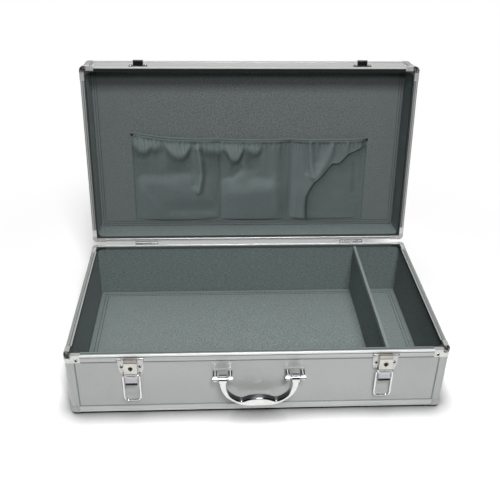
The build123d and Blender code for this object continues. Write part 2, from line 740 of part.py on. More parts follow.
def handle():
    """Bow handle with a finger grip, hanging from its two eyes."""
    eye = HANDLE_SPAN / 2
    outer, inner = eye + BOW_W / 2, eye - BOW_W / 2
    with BuildPart() as bow:
        with BuildSketch(FRONT.offset(HANDLE_OUT - HANDLE_T / 2)):
            with BuildLine():
                Spline(
                    (outer, HANDLE_Z),
                    (SHOULDER_X, HANDLE_Z - SHOULDER_DROP),
                    (BOW_X, HANDLE_Z - BOW_DROP),
                    (0, HANDLE_Z - HANDLE_DROP),
                    tangents=((0, -1), (-1, 0)),
                )
                Spline(
                    (inner, HANDLE_Z),
                    (INNER_BOW_X, HANDLE_Z - INNER_BOW_DROP),
                    (GRIP_HOLLOW_X, HANDLE_Z - GRIP_HOLLOW),
                    (0, HANDLE_Z - GRIP_HUMP),
                    tangents=((0, -1), (-1, 0)),
                )
                Line((outer, HANDLE_Z), (inner, HANDLE_Z))
                mirror(about=Plane.YZ)
            make_face()
        extrude(amount=HANDLE_T)
        along = bow.edges().filter_by(lambda edge: edge.geom_type == GeomType.BSPLINE)
        fillet(along, HANDLE_EDGE)
        for side in (-1, 1):
            with BuildSketch(latch_side(side * eye)):
                with Locations((HANDLE_OUT, HANDLE_Z)):
                    Circle(EYE_R)
            extrude(amount=EYE_W / 2, both=True)
        with BuildSketch(latch_side(0)):
            with Locations((HANDLE_OUT, HANDLE_Z)):
                Circle(HANDLE_PIN_R + RUN_CLEAR)
        extrude(amount=CASE_W / 2, both=True, mode=Mode.SUBTRACT)
    return bow.part


# Lid pocket
def swell_arc(low, high):
    """Draw an arc from a seam on the pad that is level where it meets the top of the swell."""
    run, rise = high[0] - low[0], high[1] - low[1]
    radius = (run**2 + rise**2) / (2 * rise)
    half_way = (high[0] - run / 2, high[1] - radius + (radius**2 - (run / 2) ** 2) ** 0.5)
    ThreePointArc(low, half_way, high)


def swell_section(y, index, swell, share, thickness):
    """Section of one compartment's cloth at y: two arcs from its seams up to the swell, and the same again outside."""
    low = WALL + LID_PAD
    left, right = POCKET_SEAMS[index] + SEAM_W / 2, POCKET_SEAMS[index + 1] - SEAM_W / 2
    middle = left + share * (right - left)
    with BuildSketch(Plane.XZ.offset(-y)) as section:
        with BuildLine():
            for level in (low, low + thickness):
                swell_arc((left, level), (middle, level + swell))
                swell_arc((right, level), (middle, level + swell))
            for end in (left, right):
                Line((end, low), (end, low + thickness))
        make_face()
    return section.sketch


def seams(low_y, high_y, thickness):
    """Add the flat strips of cloth at the seams, between two heights on the lid."""
    with BuildSketch(Plane.XY.offset(WALL + LID_PAD)) as strips:
        for seam in POCKET_SEAMS:
            with Locations((seam, (low_y + high_y) / 2)):
                Rectangle(SEAM_W, high_y - low_y)
    extrude(strips.sketch, amount=thickness)


def pocket():
    """Sewn pocket on the lid's pad: three slack compartments side by side, open at the hem."""
    middle = (POCKET_LOW_Y + POCKET_HEM_Y) / 2
    first, last = POCKET_SEAMS[0] - SEAM_W / 2, POCKET_SEAMS[-1] + SEAM_W / 2
    with BuildPart() as cloth:
        for index in range(len(POCKET_SEAMS) - 1):
            loft([
                swell_section(POCKET_LOW_Y, index, POCKET_FOOT, FOOT_PEAK[index], CLOTH),
                swell_section(middle, index, POCKET_BELLY[index], BELLY_PEAK[index], CLOTH),
                swell_section(POCKET_HEM_Y, index, POCKET_MOUTH[index], MOUTH_PEAK[index], CLOTH),
            ])
        seams(POCKET_LOW_Y, POCKET_HEM_Y, CLOTH)
        with BuildSketch(Plane.XY.offset(WALL + LID_PAD)):
            with Locations(((first + last) / 2, POCKET_LOW_Y - SEAM_W / 2)):
                Rectangle(last - first, SEAM_W)
        extrude(amount=CLOTH + POCKET_FOOT)
    return cloth.part


def pocket_hem():
    """Elastic band along the mouths of the pocket."""
    with BuildPart() as band:
        for index in range(len(POCKET_SEAMS) - 1):
            mouth = swell_section(POCKET_HEM_Y, index, POCKET_MOUTH[index], MOUTH_PEAK[index], HEM_T)
            extrude(mouth, amount=-HEM_H)
        seams(POCKET_HEM_Y, POCKET_HEM_Y + HEM_H, HEM_T)
    return band.part


def facing(planes, direction):
    """The planes that face one way."""
    return [plane for plane in planes if plane.z_dir.dot(Vector(direction)) > ALIGNED]


def in_lid_tray(planes):
    """Planes on the closed lid, in the lid tray's own frame."""
    total = BASE_H + PARTING + LID_H
    turned = []
    for plane in planes:
        spot, out = plane.origin, plane.z_dir
        turned.append(Plane(origin=(spot.X, -spot.Y, total - spot.Z), x_dir=(1, 0, 0), z_dir=(out.X, -out.Y, -out.Z)))
    return turned


def base_front_board():
    """Front board of the base, with holes for the handle brackets' studs."""
    with BuildPart() as board:
        add(long_board(BASE_H, -1, facing(BASE_BRACKET_RIVETS, (0, -1, 0)) + LATCH_RIVETS))
        with BuildSketch(FRONT.offset(-SHEET)):
            with Locations(*[(x, HANDLE_Z) for x in pairs(HANDLE_SPAN / 2, LUG_OFF)]):
                Circle(STUD_R + RUN_CLEAR)
        extrude(amount=-BOARD, mode=Mode.SUBTRACT)
    return board.part


BASE_BRACKET_RIVETS = bracket_rivets(BASE_H)
LID_BRACKET_RIVETS = bracket_rivets(LID_H)
LID_TRAY_LEAF_RIVETS = in_lid_tray(LID_LEAF_RIVETS)
LID_TRAY_KEEPER_RIVETS = in_lid_tray(KEEPER_RIVETS)

# Base
save(floor_board(), "base_floor_board")
save(base_front_board(), "base_front_board")
save(long_board(BASE_H, 1, facing(BASE_BRACKET_RIVETS, (0, 1, 0)) + BASE_LEAF_RIVETS), "base_back_board")
save(long_edge(-1), "base_front_edge")
save(long_edge(1), "base_back_edge")
save(long_rim(BASE_H, -1, False), "base_front_rim")
save(long_rim(BASE_H, 1, False, BASE_LEAF_RIVETS), "base_back_rim")
for side, hand in ((-1, "left"), (1, "right")):
    save(side_board(BASE_H, side, facing(BASE_BRACKET_RIVETS, (side, 0, 0))), f"base_{hand}_board")
    save(short_edge(side), f"base_{hand}_edge")
    save(short_rim(BASE_H, side, False), f"base_{hand}_rim")
save(corner_angles(BASE_H), "base_corner_angles")
save(corner_caps(), "base_corner_caps")
save(rim_corners(BASE_H, BASE_BRACKET_RIVETS), "base_rim_corners")
save(wall_lining(BASE_H), "base_wall_lining")
save(pad(FLOOR_PAD), "floor_pad")
save(divider(), "divider")
save(rivets(BASE_BRACKET_RIVETS + BASE_LEAF_RIVETS + LATCH_RIVETS), "base_rivets")

# Lid
save(opened(closed(floor_board())), "lid_top_board")
lid_front_holes = facing(LID_BRACKET_RIVETS, (0, 1, 0)) + LID_TRAY_KEEPER_RIVETS
lid_back_holes = facing(LID_BRACKET_RIVETS, (0, -1, 0)) + LID_TRAY_LEAF_RIVETS
save(opened(closed(long_board(LID_H, 1, lid_front_holes))), "lid_front_board")
save(opened(closed(long_board(LID_H, -1, lid_back_holes))), "lid_back_board")
save(opened(closed(long_edge(1))), "lid_front_edge")
save(opened(closed(long_edge(-1))), "lid_back_edge")
save(opened(closed(long_rim(LID_H, 1, True, LID_TRAY_KEEPER_RIVETS))), "lid_front_rim")
save(opened(closed(long_rim(LID_H, -1, True, LID_TRAY_LEAF_RIVETS))), "lid_back_rim")
for side, hand in ((-1, "left"), (1, "right")):
    board = side_board(LID_H, side, facing(LID_BRACKET_RIVETS, (side, 0, 0)))
    save(opened(closed(board)), f"lid_{hand}_board")
    save(opened(closed(short_edge(side))), f"lid_{hand}_edge")
    save(opened(closed(short_rim(LID_H, side, True))), f"lid_{hand}_rim")
save(opened(closed(corner_angles(LID_H))), "lid_corner_angles")
save(opened(closed(corner_caps())), "lid_corner_caps")
save(opened(closed(rim_corners(LID_H, LID_BRACKET_RIVETS))), "lid_rim_corners")
save(opened(closed(wall_lining(LID_H))), "lid_wall_lining")
save(opened(closed(pad(LID_PAD))), "lid_pad")
save(opened(closed(pocket())), "lid_pocket")
save(opened(closed(pocket_hem())), "pocket_elastic")
lid_tray_rivets = LID_BRACKET_RIVETS + LID_TRAY_LEAF_RIVETS + LID_TRAY_KEEPER_RIVETS
save(opened(closed(rivets(lid_tray_rivets))), "lid_rivets")

# Hinges, latches and keepers
for side, hand in ((-1, "left"), (1, "right")):
    save(hinge_leaf(side * HINGE_X, -1, BASE_LEAF_RIVETS), f"{hand}_hinge_base_leaf")
    save(opened(hinge_leaf(side * HINGE_X, 1, LID_LEAF_RIVETS)), f"{hand}_hinge_lid_leaf")
    save(latch_plate(side * LATCH_X, LATCH_RIVETS), f"{hand}_latch_plate")
    save(latch_lever(side * LATCH_X), f"{hand}_latch_lever")
    save(latch_loop(side * LATCH_X), f"{hand}_latch_loop")
    save(opened(keeper(side * LATCH_X, KEEPER_RIVETS)), f"{hand}_keeper")
    save(handle_bracket(side * HANDLE_SPAN / 2), f"{hand}_handle_bracket")

# Handle and pins
save(handle(), "handle")
hinge_middles = (-HINGE_X, HINGE_X)
latch_middles = (-LATCH_X, LATCH_X)
eye_middles = (-HANDLE_SPAN / 2, HANDLE_SPAN / 2)
latch_y, handle_y = -CASE_D / 2 - LEVER_OUT, -CASE_D / 2 - HANDLE_OUT
save(headed_pins(hinge_middles, HINGE_Y, HINGE_Z, HINGE_PIN_R, HINGE_W), "hinge_pins")
save(headed_pins(latch_middles, latch_y, LEVER_Z, LEVER_PIN_R, PLATE_TOP_W), "latch_pins")
save(headed_pins(eye_middles, handle_y, HANDLE_Z, HANDLE_PIN_R, 2 * LUG_OFF + LUG_T), "handle_pins")
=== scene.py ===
"""Looks of an aluminium-edged carrying case that stands open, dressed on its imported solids.

Metres, in the solids' own frame: the origin is the middle of the base's underside, +X the case's right, +Y
its back and +Z up. A tray is one half of the case with its board side at z = 0 and its rim up. Soft pieces
are made in their tray's frame and then carried to where that half stands.
"""
from __future__ import annotations

import json
import logging
import math
from dataclasses import dataclass, field
from enum import Enum
from functools import reduce
from typing import Any, Callable, Mapping, Sequence, Union

import bmesh
import bpy
from mathutils import Matrix, Vector, noise

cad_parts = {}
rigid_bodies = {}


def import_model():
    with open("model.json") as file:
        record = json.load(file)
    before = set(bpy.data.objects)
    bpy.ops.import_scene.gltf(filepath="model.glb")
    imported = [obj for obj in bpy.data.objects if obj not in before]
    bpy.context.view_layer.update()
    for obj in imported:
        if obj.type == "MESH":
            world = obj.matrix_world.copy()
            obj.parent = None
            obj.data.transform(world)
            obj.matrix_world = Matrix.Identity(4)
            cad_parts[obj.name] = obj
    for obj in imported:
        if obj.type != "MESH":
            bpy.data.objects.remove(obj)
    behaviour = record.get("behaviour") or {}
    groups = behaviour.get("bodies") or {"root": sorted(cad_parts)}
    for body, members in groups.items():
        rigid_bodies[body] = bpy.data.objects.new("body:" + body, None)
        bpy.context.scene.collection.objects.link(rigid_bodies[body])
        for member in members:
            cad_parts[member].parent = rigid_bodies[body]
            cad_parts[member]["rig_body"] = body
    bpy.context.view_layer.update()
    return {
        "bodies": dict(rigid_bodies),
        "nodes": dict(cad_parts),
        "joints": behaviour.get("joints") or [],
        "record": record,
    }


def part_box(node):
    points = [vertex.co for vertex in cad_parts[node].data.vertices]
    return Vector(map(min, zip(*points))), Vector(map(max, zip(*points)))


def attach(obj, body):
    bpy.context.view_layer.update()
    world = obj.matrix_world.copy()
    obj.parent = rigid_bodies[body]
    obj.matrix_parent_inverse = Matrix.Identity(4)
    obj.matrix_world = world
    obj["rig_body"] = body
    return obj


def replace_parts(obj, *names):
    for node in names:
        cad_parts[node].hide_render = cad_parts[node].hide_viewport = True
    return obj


LOG = logging.getLogger("case")
MM = 0.001
NEAR = 0.01 * MM
FACING = 0.9
WHITE = (1.0, 1.0, 1.0, 1.0)
# Name of the attribute that carries the pocket cloth's painted light and shade.
PAINTED_LIGHT = "slack"
Thing = bpy.types.Object
Finish = bpy.types.Material
Nodes = Mapping[str, Thing]
Place = tuple[float, float]
Colour = tuple[int, int, int]
Term = Union["Sock", float, Sequence[float]]


def tone(colour: Colour, share: float = 1.0) -> tuple[float, ...]:
    """Turn a colour on a 0 to 255 scale into the linear one that shaders take.

    Args:
        colour: red, green and blue as seen on a screen.
        share: how much of each to take.

    Returns:
        The linear colour with full alpha.
    """
    parts = [min(255, int(part * share)) / 255 for part in colour]
    linear = [part / 12.92 if part <= 0.04045 else ((part + 0.055) / 1.055) ** 2.4 for part in parts]
    return (*linear, 1.0)


def ease(value: float, low: float, high: float) -> float:
    """Rise smoothly from 0 at low to 1 at high.

    Args:
        value: where on the way.
        low: where the rise starts.
        high: where it ends.

    Returns:
        The share risen, from 0 to 1.
    """
    share = min(1.0, max(0.0, (value - low) / (high - low)))
    return share * share * (3 - 2 * share)


def along(points: Sequence[Place], x: float) -> float:
    """Read a smooth line through points at one x.

    Args:
        points: places on the line in order of x.
        x: where to read it.

    Returns:
        The line's height at x.
    """
    if x <= points[0][0]:
        return points[0][1]
    for index, ((x0, y0), (x1, y1)) in enumerate(zip(points, points[1:])):
        if x <= x1:
            before, after = points[max(0, index - 1)], points[min(len(points) - 1, index + 2)]
            share = (x - x0) / (x1 - x0)
            leave = (y1 - before[1]) / (x1 - before[0]) * (x1 - x0)
            arrive = (after[1] - y0) / (after[0] - x0) * (x1 - x0)
            straight = y0 + (y1 - y0) * share * share * (3 - 2 * share)
            return straight + share * (1 - share) * ((1 - share) * leave - share * arrive)
    return points[-1][1]


class Sock:
    """A shader output that takes part in Python arithmetic."""

    def __init__(self, recipe: Recipe, output: bpy.types.NodeSocket) -> None:
        """Hold an output and the recipe that it belongs to."""
        self.recipe = recipe
        self.output = output

    def _math(self, operation: str, first: Term, second: Term) -> Sock:
        """Add a Math node on two terms."""
        return self.recipe.node("ShaderNodeMath", {"operation": operation}, {0: first, 1: second})

    def __add__(self, other: Term) -> Sock:
        """Add a term."""
        return self._math("ADD", self, other)

    def __radd__(self, other: Term) -> Sock:
        """Add to a term."""
        return self._math("ADD", other, self)

    def __sub__(self, other: Term) -> Sock:
        """Take a term away."""
        return self._math("SUBTRACT", self, other)

    def __rsub__(self, other: Term) -> Sock:
        """Take away from a term."""
        return self._math("SUBTRACT", other, self)

    def __mul__(self, other: Term) -> Sock:
        """Multiply by a term."""
        return self._math("MULTIPLY", self, other)

    def __rmul__(self, other: Term) -> Sock:
        """Multiply a term."""
        return self._math("MULTIPLY", other, self)

    def wave(self) -> Sock:
        """Sine of the value."""
        return self._math("SINE", self, 0.0)

    def most(self, other: Term) -> Sock:
        """The larger of two values."""
        return self._math("MAXIMUM", self, other)

    def least(self, other: Term) -> Sock:
        """The smaller of two values."""
        return self._math("MINIMUM", self, other)

    def size(self) -> Sock:
        """The value without its sign."""
        return self._math("ABSOLUTE", self, 0.0)

    def within(self, low: float, high: float) -> Sock:
        """Rise smoothly from 0 at low to 1 at high."""
        sockets = {0: self, "From Min": low, "From Max": high}
        return self.recipe.node("ShaderNodeMapRange", {"interpolation_type": "SMOOTHSTEP"}, sockets)

    def past(self, edge: float, soft: float) -> Sock:
        """One past an edge and nought before it, with a soft change between."""
        return self.within(edge - soft, edge + soft)


class Ray(Enum):
    """Kinds of ray that the studio tells apart."""

    SEEN = "Is Camera Ray"
    MIRRORED = "Is Glossy Ray"
    THROUGH = "Is Transmission Ray"
    SCATTERED = "Is Diffuse Ray"


class Recipe:
    """The nodes of one material, or of the world's light."""

    def __init__(self, owner: Finish | bpy.types.World) -> None:
        """Start with no nodes.

        Args:
            owner: the material or world whose nodes these are.
        """
        self.owner = owner
        owner.use_nodes = True
        self.tree = owner.node_tree
        self.tree.nodes.clear()

    @classmethod
    def paint(cls, name: str) -> Recipe:
        """Start a new material."""
        return cls(bpy.data.materials.new(name))

    def node(
        self,
        kind: str,
        settings: Mapping[str, Any] | None = None,
        sockets: Mapping[Any, Term] | None = None,
        out: int | str = 0,
    ) -> Sock:
        """Add one node.

        Args:
            kind: the node's type.
            settings: its own settings, set first.
            sockets: values or links of its inputs.
            out: which output to hand on.

        Returns:
            The wrapped output.
        """
        made = self.tree.nodes.new(kind)
        for key, value in (settings or {}).items():
            setattr(made, key, value)
        for key, value in (sockets or {}).items():
            if isinstance(value, Sock):
                self.tree.links.new(value.output, made.inputs[key])
            else:
                made.inputs[key].default_value = value
        return Sock(self, made.outputs[out])

    def blend(self, share: Term, first: Term, second: Term) -> Sock:
        """Mix two colours by a share of the second."""
        return self.node("ShaderNodeMix", {"data_type": "RGBA"}, {0: share, 6: first, 7: second}, 2)

    def spot(self, tray: Tray | None = None) -> Sock:
        """Places on a piece in metres, in a tray's own frame where one is given.

        Args:
            tray: the half of the case, if its frame is wanted.

        Returns:
            The coordinates.
        """
        start = self.node("ShaderNodeTexCoord", None, None, "Object")
        if tray is None:
            return start
        shift, turn, _ = tray.place.inverted().decompose()
        sockets = {"Vector": start, "Location": shift, "Rotation": turn.to_euler()}
        return self.node("ShaderNodeMapping", None, sockets)

    def cloth_spot(self) -> Sock:
        """Places on a piece's cloth map in metres."""
        return self.node("ShaderNodeTexCoord", None, None, "UV")

    def drawn(self, where: Sock, scale: Sequence[float]) -> Sock:
        """Coordinates drawn out by a scale along each axis."""
        return self.node("ShaderNodeVectorMath", {"operation": "MULTIPLY"}, {0: where, 1: scale})

    def axis(self, where: Sock, name: str) -> Sock:
        """One coordinate of a place."""
        return self.node("ShaderNodeSeparateXYZ", None, {0: where}, name)

    def speck(self, where: Sock, scale: float, detail: float) -> Sock:
        """Soft noise at a place.

        Args:
            where: coordinates.
            scale: repeats per unit of the coordinates.
            detail: octaves.

        Returns:
            A value about one half.
        """
        sockets = {"Vector": where, "Scale": scale, "Detail": detail}
        return self.node("ShaderNodeTexNoise", None, sockets, "Fac")

    def ray(self, kind: Ray) -> Sock:
        """One for rays of a kind and nought for others."""
        return self.node("ShaderNodeLightPath", None, None, kind.value)

    def relief(self, height: Sock, strength: float, depth: float) -> Sock:
        """Normal of a fine relief.

        Args:
            height: the relief from 0 to 1.
            strength: share of the effect.
            depth: metres between its low and its high.

        Returns:
            The normal.
        """
        sockets = {"Strength": strength, "Distance": depth, "Height": height}
        return self.node("ShaderNodeBump", None, sockets)

    def surface(self, sockets: Mapping[str, Term]) -> Finish:
        """Close the recipe with a principled surface.

        Args:
            sockets: values or links of the surface.

        Returns:
            The finished material.
        """
        return self.close(self.node("ShaderNodeBsdfPrincipled", None, sockets))

    def close(self, shader: Sock) -> Finish:
        """Send a shader to the output and hand over the material.

        Args:
            shader: the finished shader.

        Returns:
            The material.
        """
        output = self.tree.nodes.new("ShaderNodeOutputMaterial")
        self.tree.links.new(shader.output, output.inputs["Surface"])
        return self.owner


class Grain(Enum):
    """Direction that a drawn metal's lines run in, as repeats per metre along a tray's X, Y and Z."""

    ACROSS = (3.0, 900.0, 900.0)
    DEEP = (900.0, 3.0, 900.0)
    UPRIGHT = (900.0, 900.0, 3.0)


@dataclass(frozen=True)
class Line:
    """A straight line on a flat face, where one coordinate of the tray has one value."""

    axis: str
    at: float
    half: float
    full: float = 0.55
    gone: float = 1.5

    def mask(self, made: Recipe, where: Sock) -> Sock:
        """One on the line and nought beside it."""
        away = (made.axis(where, self.axis).size() - self.at).size()
        return 1 - away.within(self.half * self.full, self.half * self.gone)

    @staticmethod
    def on_any(lines: Sequence[Line], made: Recipe, where: Sock) -> Sock:
        """One on each of several lines and nought beside them."""
        return reduce(Sock.most, (line.mask(made, where) for line in lines))


@dataclass(frozen=True)
class Binding:
    """The lining's binding on a rim's inner part, past a depth in from the outside and down its lip, in a
    tone darkened as painted shade.
    """

    axis: str
    edge: float
    top: float
    bare: float
    soft: float = 0.25 * MM
    lip: float = 7.9 * MM
    lip_soft: float = 0.2 * MM
    drop: float = 1.3 * MM
    fade: float = 0.4 * MM

    def mask(self, made: Recipe, where: Sock) -> Sock:
        """One on the binding and nought on the bare metal.

        Args:
            made: the recipe.
            where: coordinates in the tray's frame.

        Returns:
            The mask.
        """
        inset = self.edge - made.axis(where, self.axis).size()
        down = self.top - made.axis(where, "Z")
        lip = inset.past(self.lip, self.lip_soft) * down.within(self.drop, self.drop + self.fade)
        return lip.most(inset.past(self.bare, self.soft))


@dataclass(frozen=True)
class Laminate:
    """Silver laminated board with a faint pearl, a soft gloss and painted shade lines along the angles, where
    their edges stand proud of the board.
    """

    name: str
    colour: Colour
    tray: Tray
    lines: tuple[Line, ...] = ()
    gloss: float = 0.36
    metal: float = 0.2
    dimmed: float = 0.93
    # Colour of the painted shade lines beside the angles.
    dirt: Colour = (38, 40, 40)
    clouds_per_m: float = 9.0
    pearls_per_m: float = 1400.0
    grit_per_m: float = 420.0

    def material(self) -> Finish:
        """Mix the board's finish.

        Returns:
            The material.
        """
        made = Recipe.paint(self.name)
        where = made.spot(self.tray)
        cloud = made.speck(where, self.clouds_per_m, 3.0)
        pearl = made.speck(where, self.pearls_per_m, 1.0)
        grit = made.speck(where, self.grit_per_m, 2.0)
        share = cloud.within(0.3, 0.7) * 0.45 + pearl.within(0.35, 0.65) * 0.55
        colour = made.blend(share, tone(self.colour, self.dimmed), tone(self.colour))
        rough = self.gloss + (grit - 0.5) * 0.16
        # Painted shade: dark lines on the board beside the angles, standing in for the shade of their proud
        # edges.
        if self.lines:
            dirt = Line.on_any(self.lines, made, where) * (0.36 + 0.2 * cloud)
            colour = made.blend(dirt, colour, tone(self.dirt))
            rough = rough + dirt * 0.3
        return made.surface({
            "Base Color": colour,
            "Metallic": self.metal,
            "Roughness": rough,
            "Normal": made.relief(grit, 0.10, 0.12 * MM),
        })


@dataclass(frozen=True)
class Extrusion:
    """Drawn aluminium with hairlines along its length and a few dull marks; on a rim, painted shade strips, a
    painted highlight on its upper band and the lining's binding in a darkened tone.
    """

    name: str
    colour: Colour
    tray: Tray
    grain: Grain
    polish: float = 0.30
    strips: tuple[Line, ...] = ()
    binding: Binding | None = None
    bound: Colour = (56, 60, 59)
    metal: float = 0.72
    # Height above which a rim's upper band gets a painted highlight.
    lip: float | None = None
    lip_light: Colour = (246, 248, 247)
    lip_soft: float = 0.2 * MM
    dimmed: float = 0.84
    mark: Colour = (120, 124, 124)
    strip: Colour = (58, 60, 60)
    marks_per_m: float = 130.0
    clouds_per_m: float = 18.0

    def material(self) -> Finish:
        """Mix the metal's finish.

        Returns:
            The material.
        """
        made = Recipe.paint(self.name)
        where = made.spot(self.tray)
        hair = made.speck(made.drawn(where, self.grain.value), 1.0, 3.0)
        marks = made.speck(where, self.marks_per_m, 4.0).within(0.60, 0.76)
        cloud = made.speck(where, self.clouds_per_m, 2.0)
        share = hair.within(0.25, 0.7) * 0.8 + cloud * 0.2
        colour = made.blend(share, tone(self.colour, self.dimmed), tone(self.colour))
        colour = made.blend(marks * 0.12, colour, tone(self.mark))
        rough = self.polish + hair * 0.14 + marks * 0.05
        # Painted highlight: the rim's upper band, above its groove line, is made lighter.
        if self.lip is not None:
            above = made.axis(where, "Z").past(self.lip, self.lip_soft)
            colour = made.blend(above * (0.6 + 0.4 * hair), colour, tone(self.lip_light))
        # Painted shade: dark strips where the rim's groove, the crease under its top and the foot of its
        # outer face would lie in shade.
        if self.strips:
            strip = Line.on_any(self.strips, made, where)
            colour = made.blend(strip * (0.55 + 0.3 * cloud), colour, tone(self.strip))
            rough = rough + strip * 0.2
        metal: Term = self.metal
        # The binding is the lining wrapped over the rim, in a tone darker than the lining: painted shade
        # under the rim.
        if self.binding:
            cover = self.binding.mask(made, where)
            colour = made.blend(cover, colour, tone(self.bound))
            rough = rough + cover * 0.6
            metal = self.metal - cover * self.metal
        return made.surface({
            "Base Color": colour,
            "Metallic": metal,
            "Roughness": rough,
            "Normal": made.relief(hair, 0.10, 0.08 * MM),
        })


@dataclass(frozen=True)
class Plating:
    """Plated steel or brass with faint smudges and pits."""

    name: str
    colour: Colour
    polish: float = 0.10
    metal: float = 1.0
    dimmed: float = 0.5
    smudges_per_m: float = 70.0
    pits_per_m: float = 900.0

    def material(self) -> Finish:
        """Mix the plating."""
        return self.over(Recipe.paint(self.name), tone(self.colour))

    def over(self, made: Recipe, light: Term, rough: Term = 0.0, metal: Term | None = None) -> Finish:
        """Finish a recipe as plating over a colour.

        Args:
            made: the recipe.
            light: the colour of clean plating.
            rough: roughness to add.
            metal: how metallic it is, where that varies.

        Returns:
            The finished material.
        """
        where = made.spot()
        smudge = made.speck(where, self.smudges_per_m, 3.0)
        pits = made.speck(where, self.pits_per_m, 2.0).within(0.66, 0.78)
        dull = made.blend(0.5, light, tone(self.colour, self.dimmed))
        return made.surface({
            "Base Color": made.blend(smudge.within(0.35, 0.75) * 0.35 + pits * 0.4, light, dull),
            "Metallic": self.metal if metal is None else metal,
            "Roughness": smudge * 0.10 + pits * 0.2 + self.polish + rough,
            "Normal": made.relief(1 - pits, 0.08, 0.06 * MM),
        })


@dataclass(frozen=True)
class CornerPlating(Plating):
    """Nickel brackets with a painted dark reflection round the corner, bright on their tabs, and the
    binding's darkened tone on their inner part.
    """

    tray: Tray | None = None
    reach: Vector = field(default_factory=Vector)
    # Colour of the painted dark reflection round the corner.
    dark: Colour = (40, 42, 42)
    bound: Colour = (56, 60, 59)
    leg: float = 10.0 * MM
    leg_soft: float = 1.6 * MM
    tab_drop: float = 5.0 * MM
    tab_soft: float = 1.0 * MM
    bare: float = 7.0 * MM
    bare_soft: float = 0.25 * MM
    wander: float = 6.0 * MM
    front: float = -1.0
    front_soft: float = 10.0 * MM

    def material(self) -> Finish:
        """Mix the brackets' finish.

        Returns:
            The material.
        """
        made = Recipe.paint(self.name)
        where = made.spot(self.tray)
        across = self.reach.x - made.axis(where, "X").size()
        deep = self.reach.y - made.axis(where, "Y").size()
        drop = self.reach.z - made.axis(where, "Z")
        ragged = (made.speck(where, 260.0, 3.0) - 0.5) * self.wander
        # Painted dark reflection near the corner, with a ragged edge, broken by light flecks and weaker on
        # one side of the case.
        near = 1 - (across.most(deep) + ragged).past(self.leg, self.leg_soft)
        top = 1 - (drop + ragged).past(self.tab_drop, self.tab_soft)
        light_flecks = made.speck(where, 420.0, 2.0).within(0.50, 0.66) * 0.6
        lighter_side = (made.axis(where, "Y") * -self.front).past(0.0, self.front_soft) * 0.7
        dark = near * top * (1 - light_flecks.most(lighter_side))
        # The inner part takes the binding's tone, darkened as painted shade.
        inner = across.least(deep).past(self.bare, self.bare_soft)
        colour = made.blend(dark, tone(self.colour), tone(self.dark))
        return self.over(made, made.blend(inner, colour, tone(self.bound)), dark * 0.12 + inner * 0.4)


@dataclass(frozen=True)
class PostPlating(Plating):
    """Dull plates on the front of the case, with posts that stand out of them, painted dark as reflection
    with a painted glint line on each lug, and bright ends.
    """

    front: float = -0.15
    middle: float = 0.05
    lug_off: float = 10.8 * MM
    streak_half: float = 0.7 * MM
    plate_out: Place = (1.3 * MM, 1.8 * MM)
    post_out: Place = (12.6 * MM, 14.6 * MM)
    dark: Colour = (62, 62, 66)
    streak: Colour = (206, 206, 212)
    dull: Colour = (186, 188, 187)

    def material(self) -> Finish:
        """Mix the brackets' finish.

        Returns:
            The material.
        """
        made = Recipe.paint(self.name)
        where = made.spot()
        out = self.front - made.axis(where, "Y")
        lugs = (self.middle - self.lug_off, self.middle + self.lug_off)
        # Painted reflection: the posts are dark, with a light glint line down the middle of each lug.
        streak = Line.on_any([Line("X", lug, self.streak_half) for lug in lugs], made, where)
        dark = made.blend(streak, tone(self.dark), tone(self.streak))
        plate = 1 - out.within(*self.plate_out)
        post = 1 - out.within(*self.post_out)
        colour = made.blend(post, tone(self.colour), made.blend(plate, dark, tone(self.dull)))
        return self.over(made, colour, plate * 0.24 + post * 0.06, self.metal - plate * 0.75)


@dataclass(frozen=True)
class GripPlating(Plating):
    """Chrome with a painted dark reflection on the faces of the handle's bow that look up."""

    # Colour of the painted dark reflection on faces that look up.
    dark: Colour = (96, 96, 100)

    def material(self) -> Finish:
        """Mix the handle's finish.

        Returns:
            The material.
        """
        made = Recipe.paint(self.name)
        # Painted dark reflection: faces that look up are darkened.
        faces_up = made.axis(made.node("ShaderNodeTexCoord", None, None, "Normal"), "Z")
        return self.over(made, made.blend(faces_up.within(0.12, 0.5), tone(self.colour), tone(self.dark)))


@dataclass(frozen=True)
class LeverPlating(Plating):
    """Cream plating on a lever's cover, bright bare metal on its tab with painted shadow at its curled end
    and under the cover, and a duller knuckle.
    """

    knuckle: float = 98.2 * MM
    tab: float = 78.6 * MM
    curl: float = 70.0 * MM
    soft: float = 0.4 * MM
    curl_soft: float = 0.5 * MM
    fold_half: float = 0.6 * MM
    bright: Colour = (212, 211, 217)
    dull: Colour = (112, 108, 104)
    shade: Colour = (40, 40, 42)

    def material(self) -> Finish:
        """Mix the lever's finish.

        Returns:
            The material.
        """
        made = Recipe.paint(self.name)
        where = made.spot()
        height = made.axis(where, "Z")
        upper = height.past(self.knuckle, self.soft)
        lower = 1 - height.past(self.tab, self.soft)
        # Painted shadow: the tab's curled end and a line just under the cover are dark.
        end = 1 - height.past(self.curl, self.curl_soft)
        colour = made.blend(lower, tone(self.colour), made.blend(end, tone(self.bright), tone(self.shade)))
        fold = Line("Z", self.tab + self.soft, self.fold_half).mask(made, where)
        colour = made.blend(fold, made.blend(upper, colour, tone(self.dull)), tone(self.shade))
        return self.over(made, colour, lower * -0.04, self.metal - lower * 0.55)


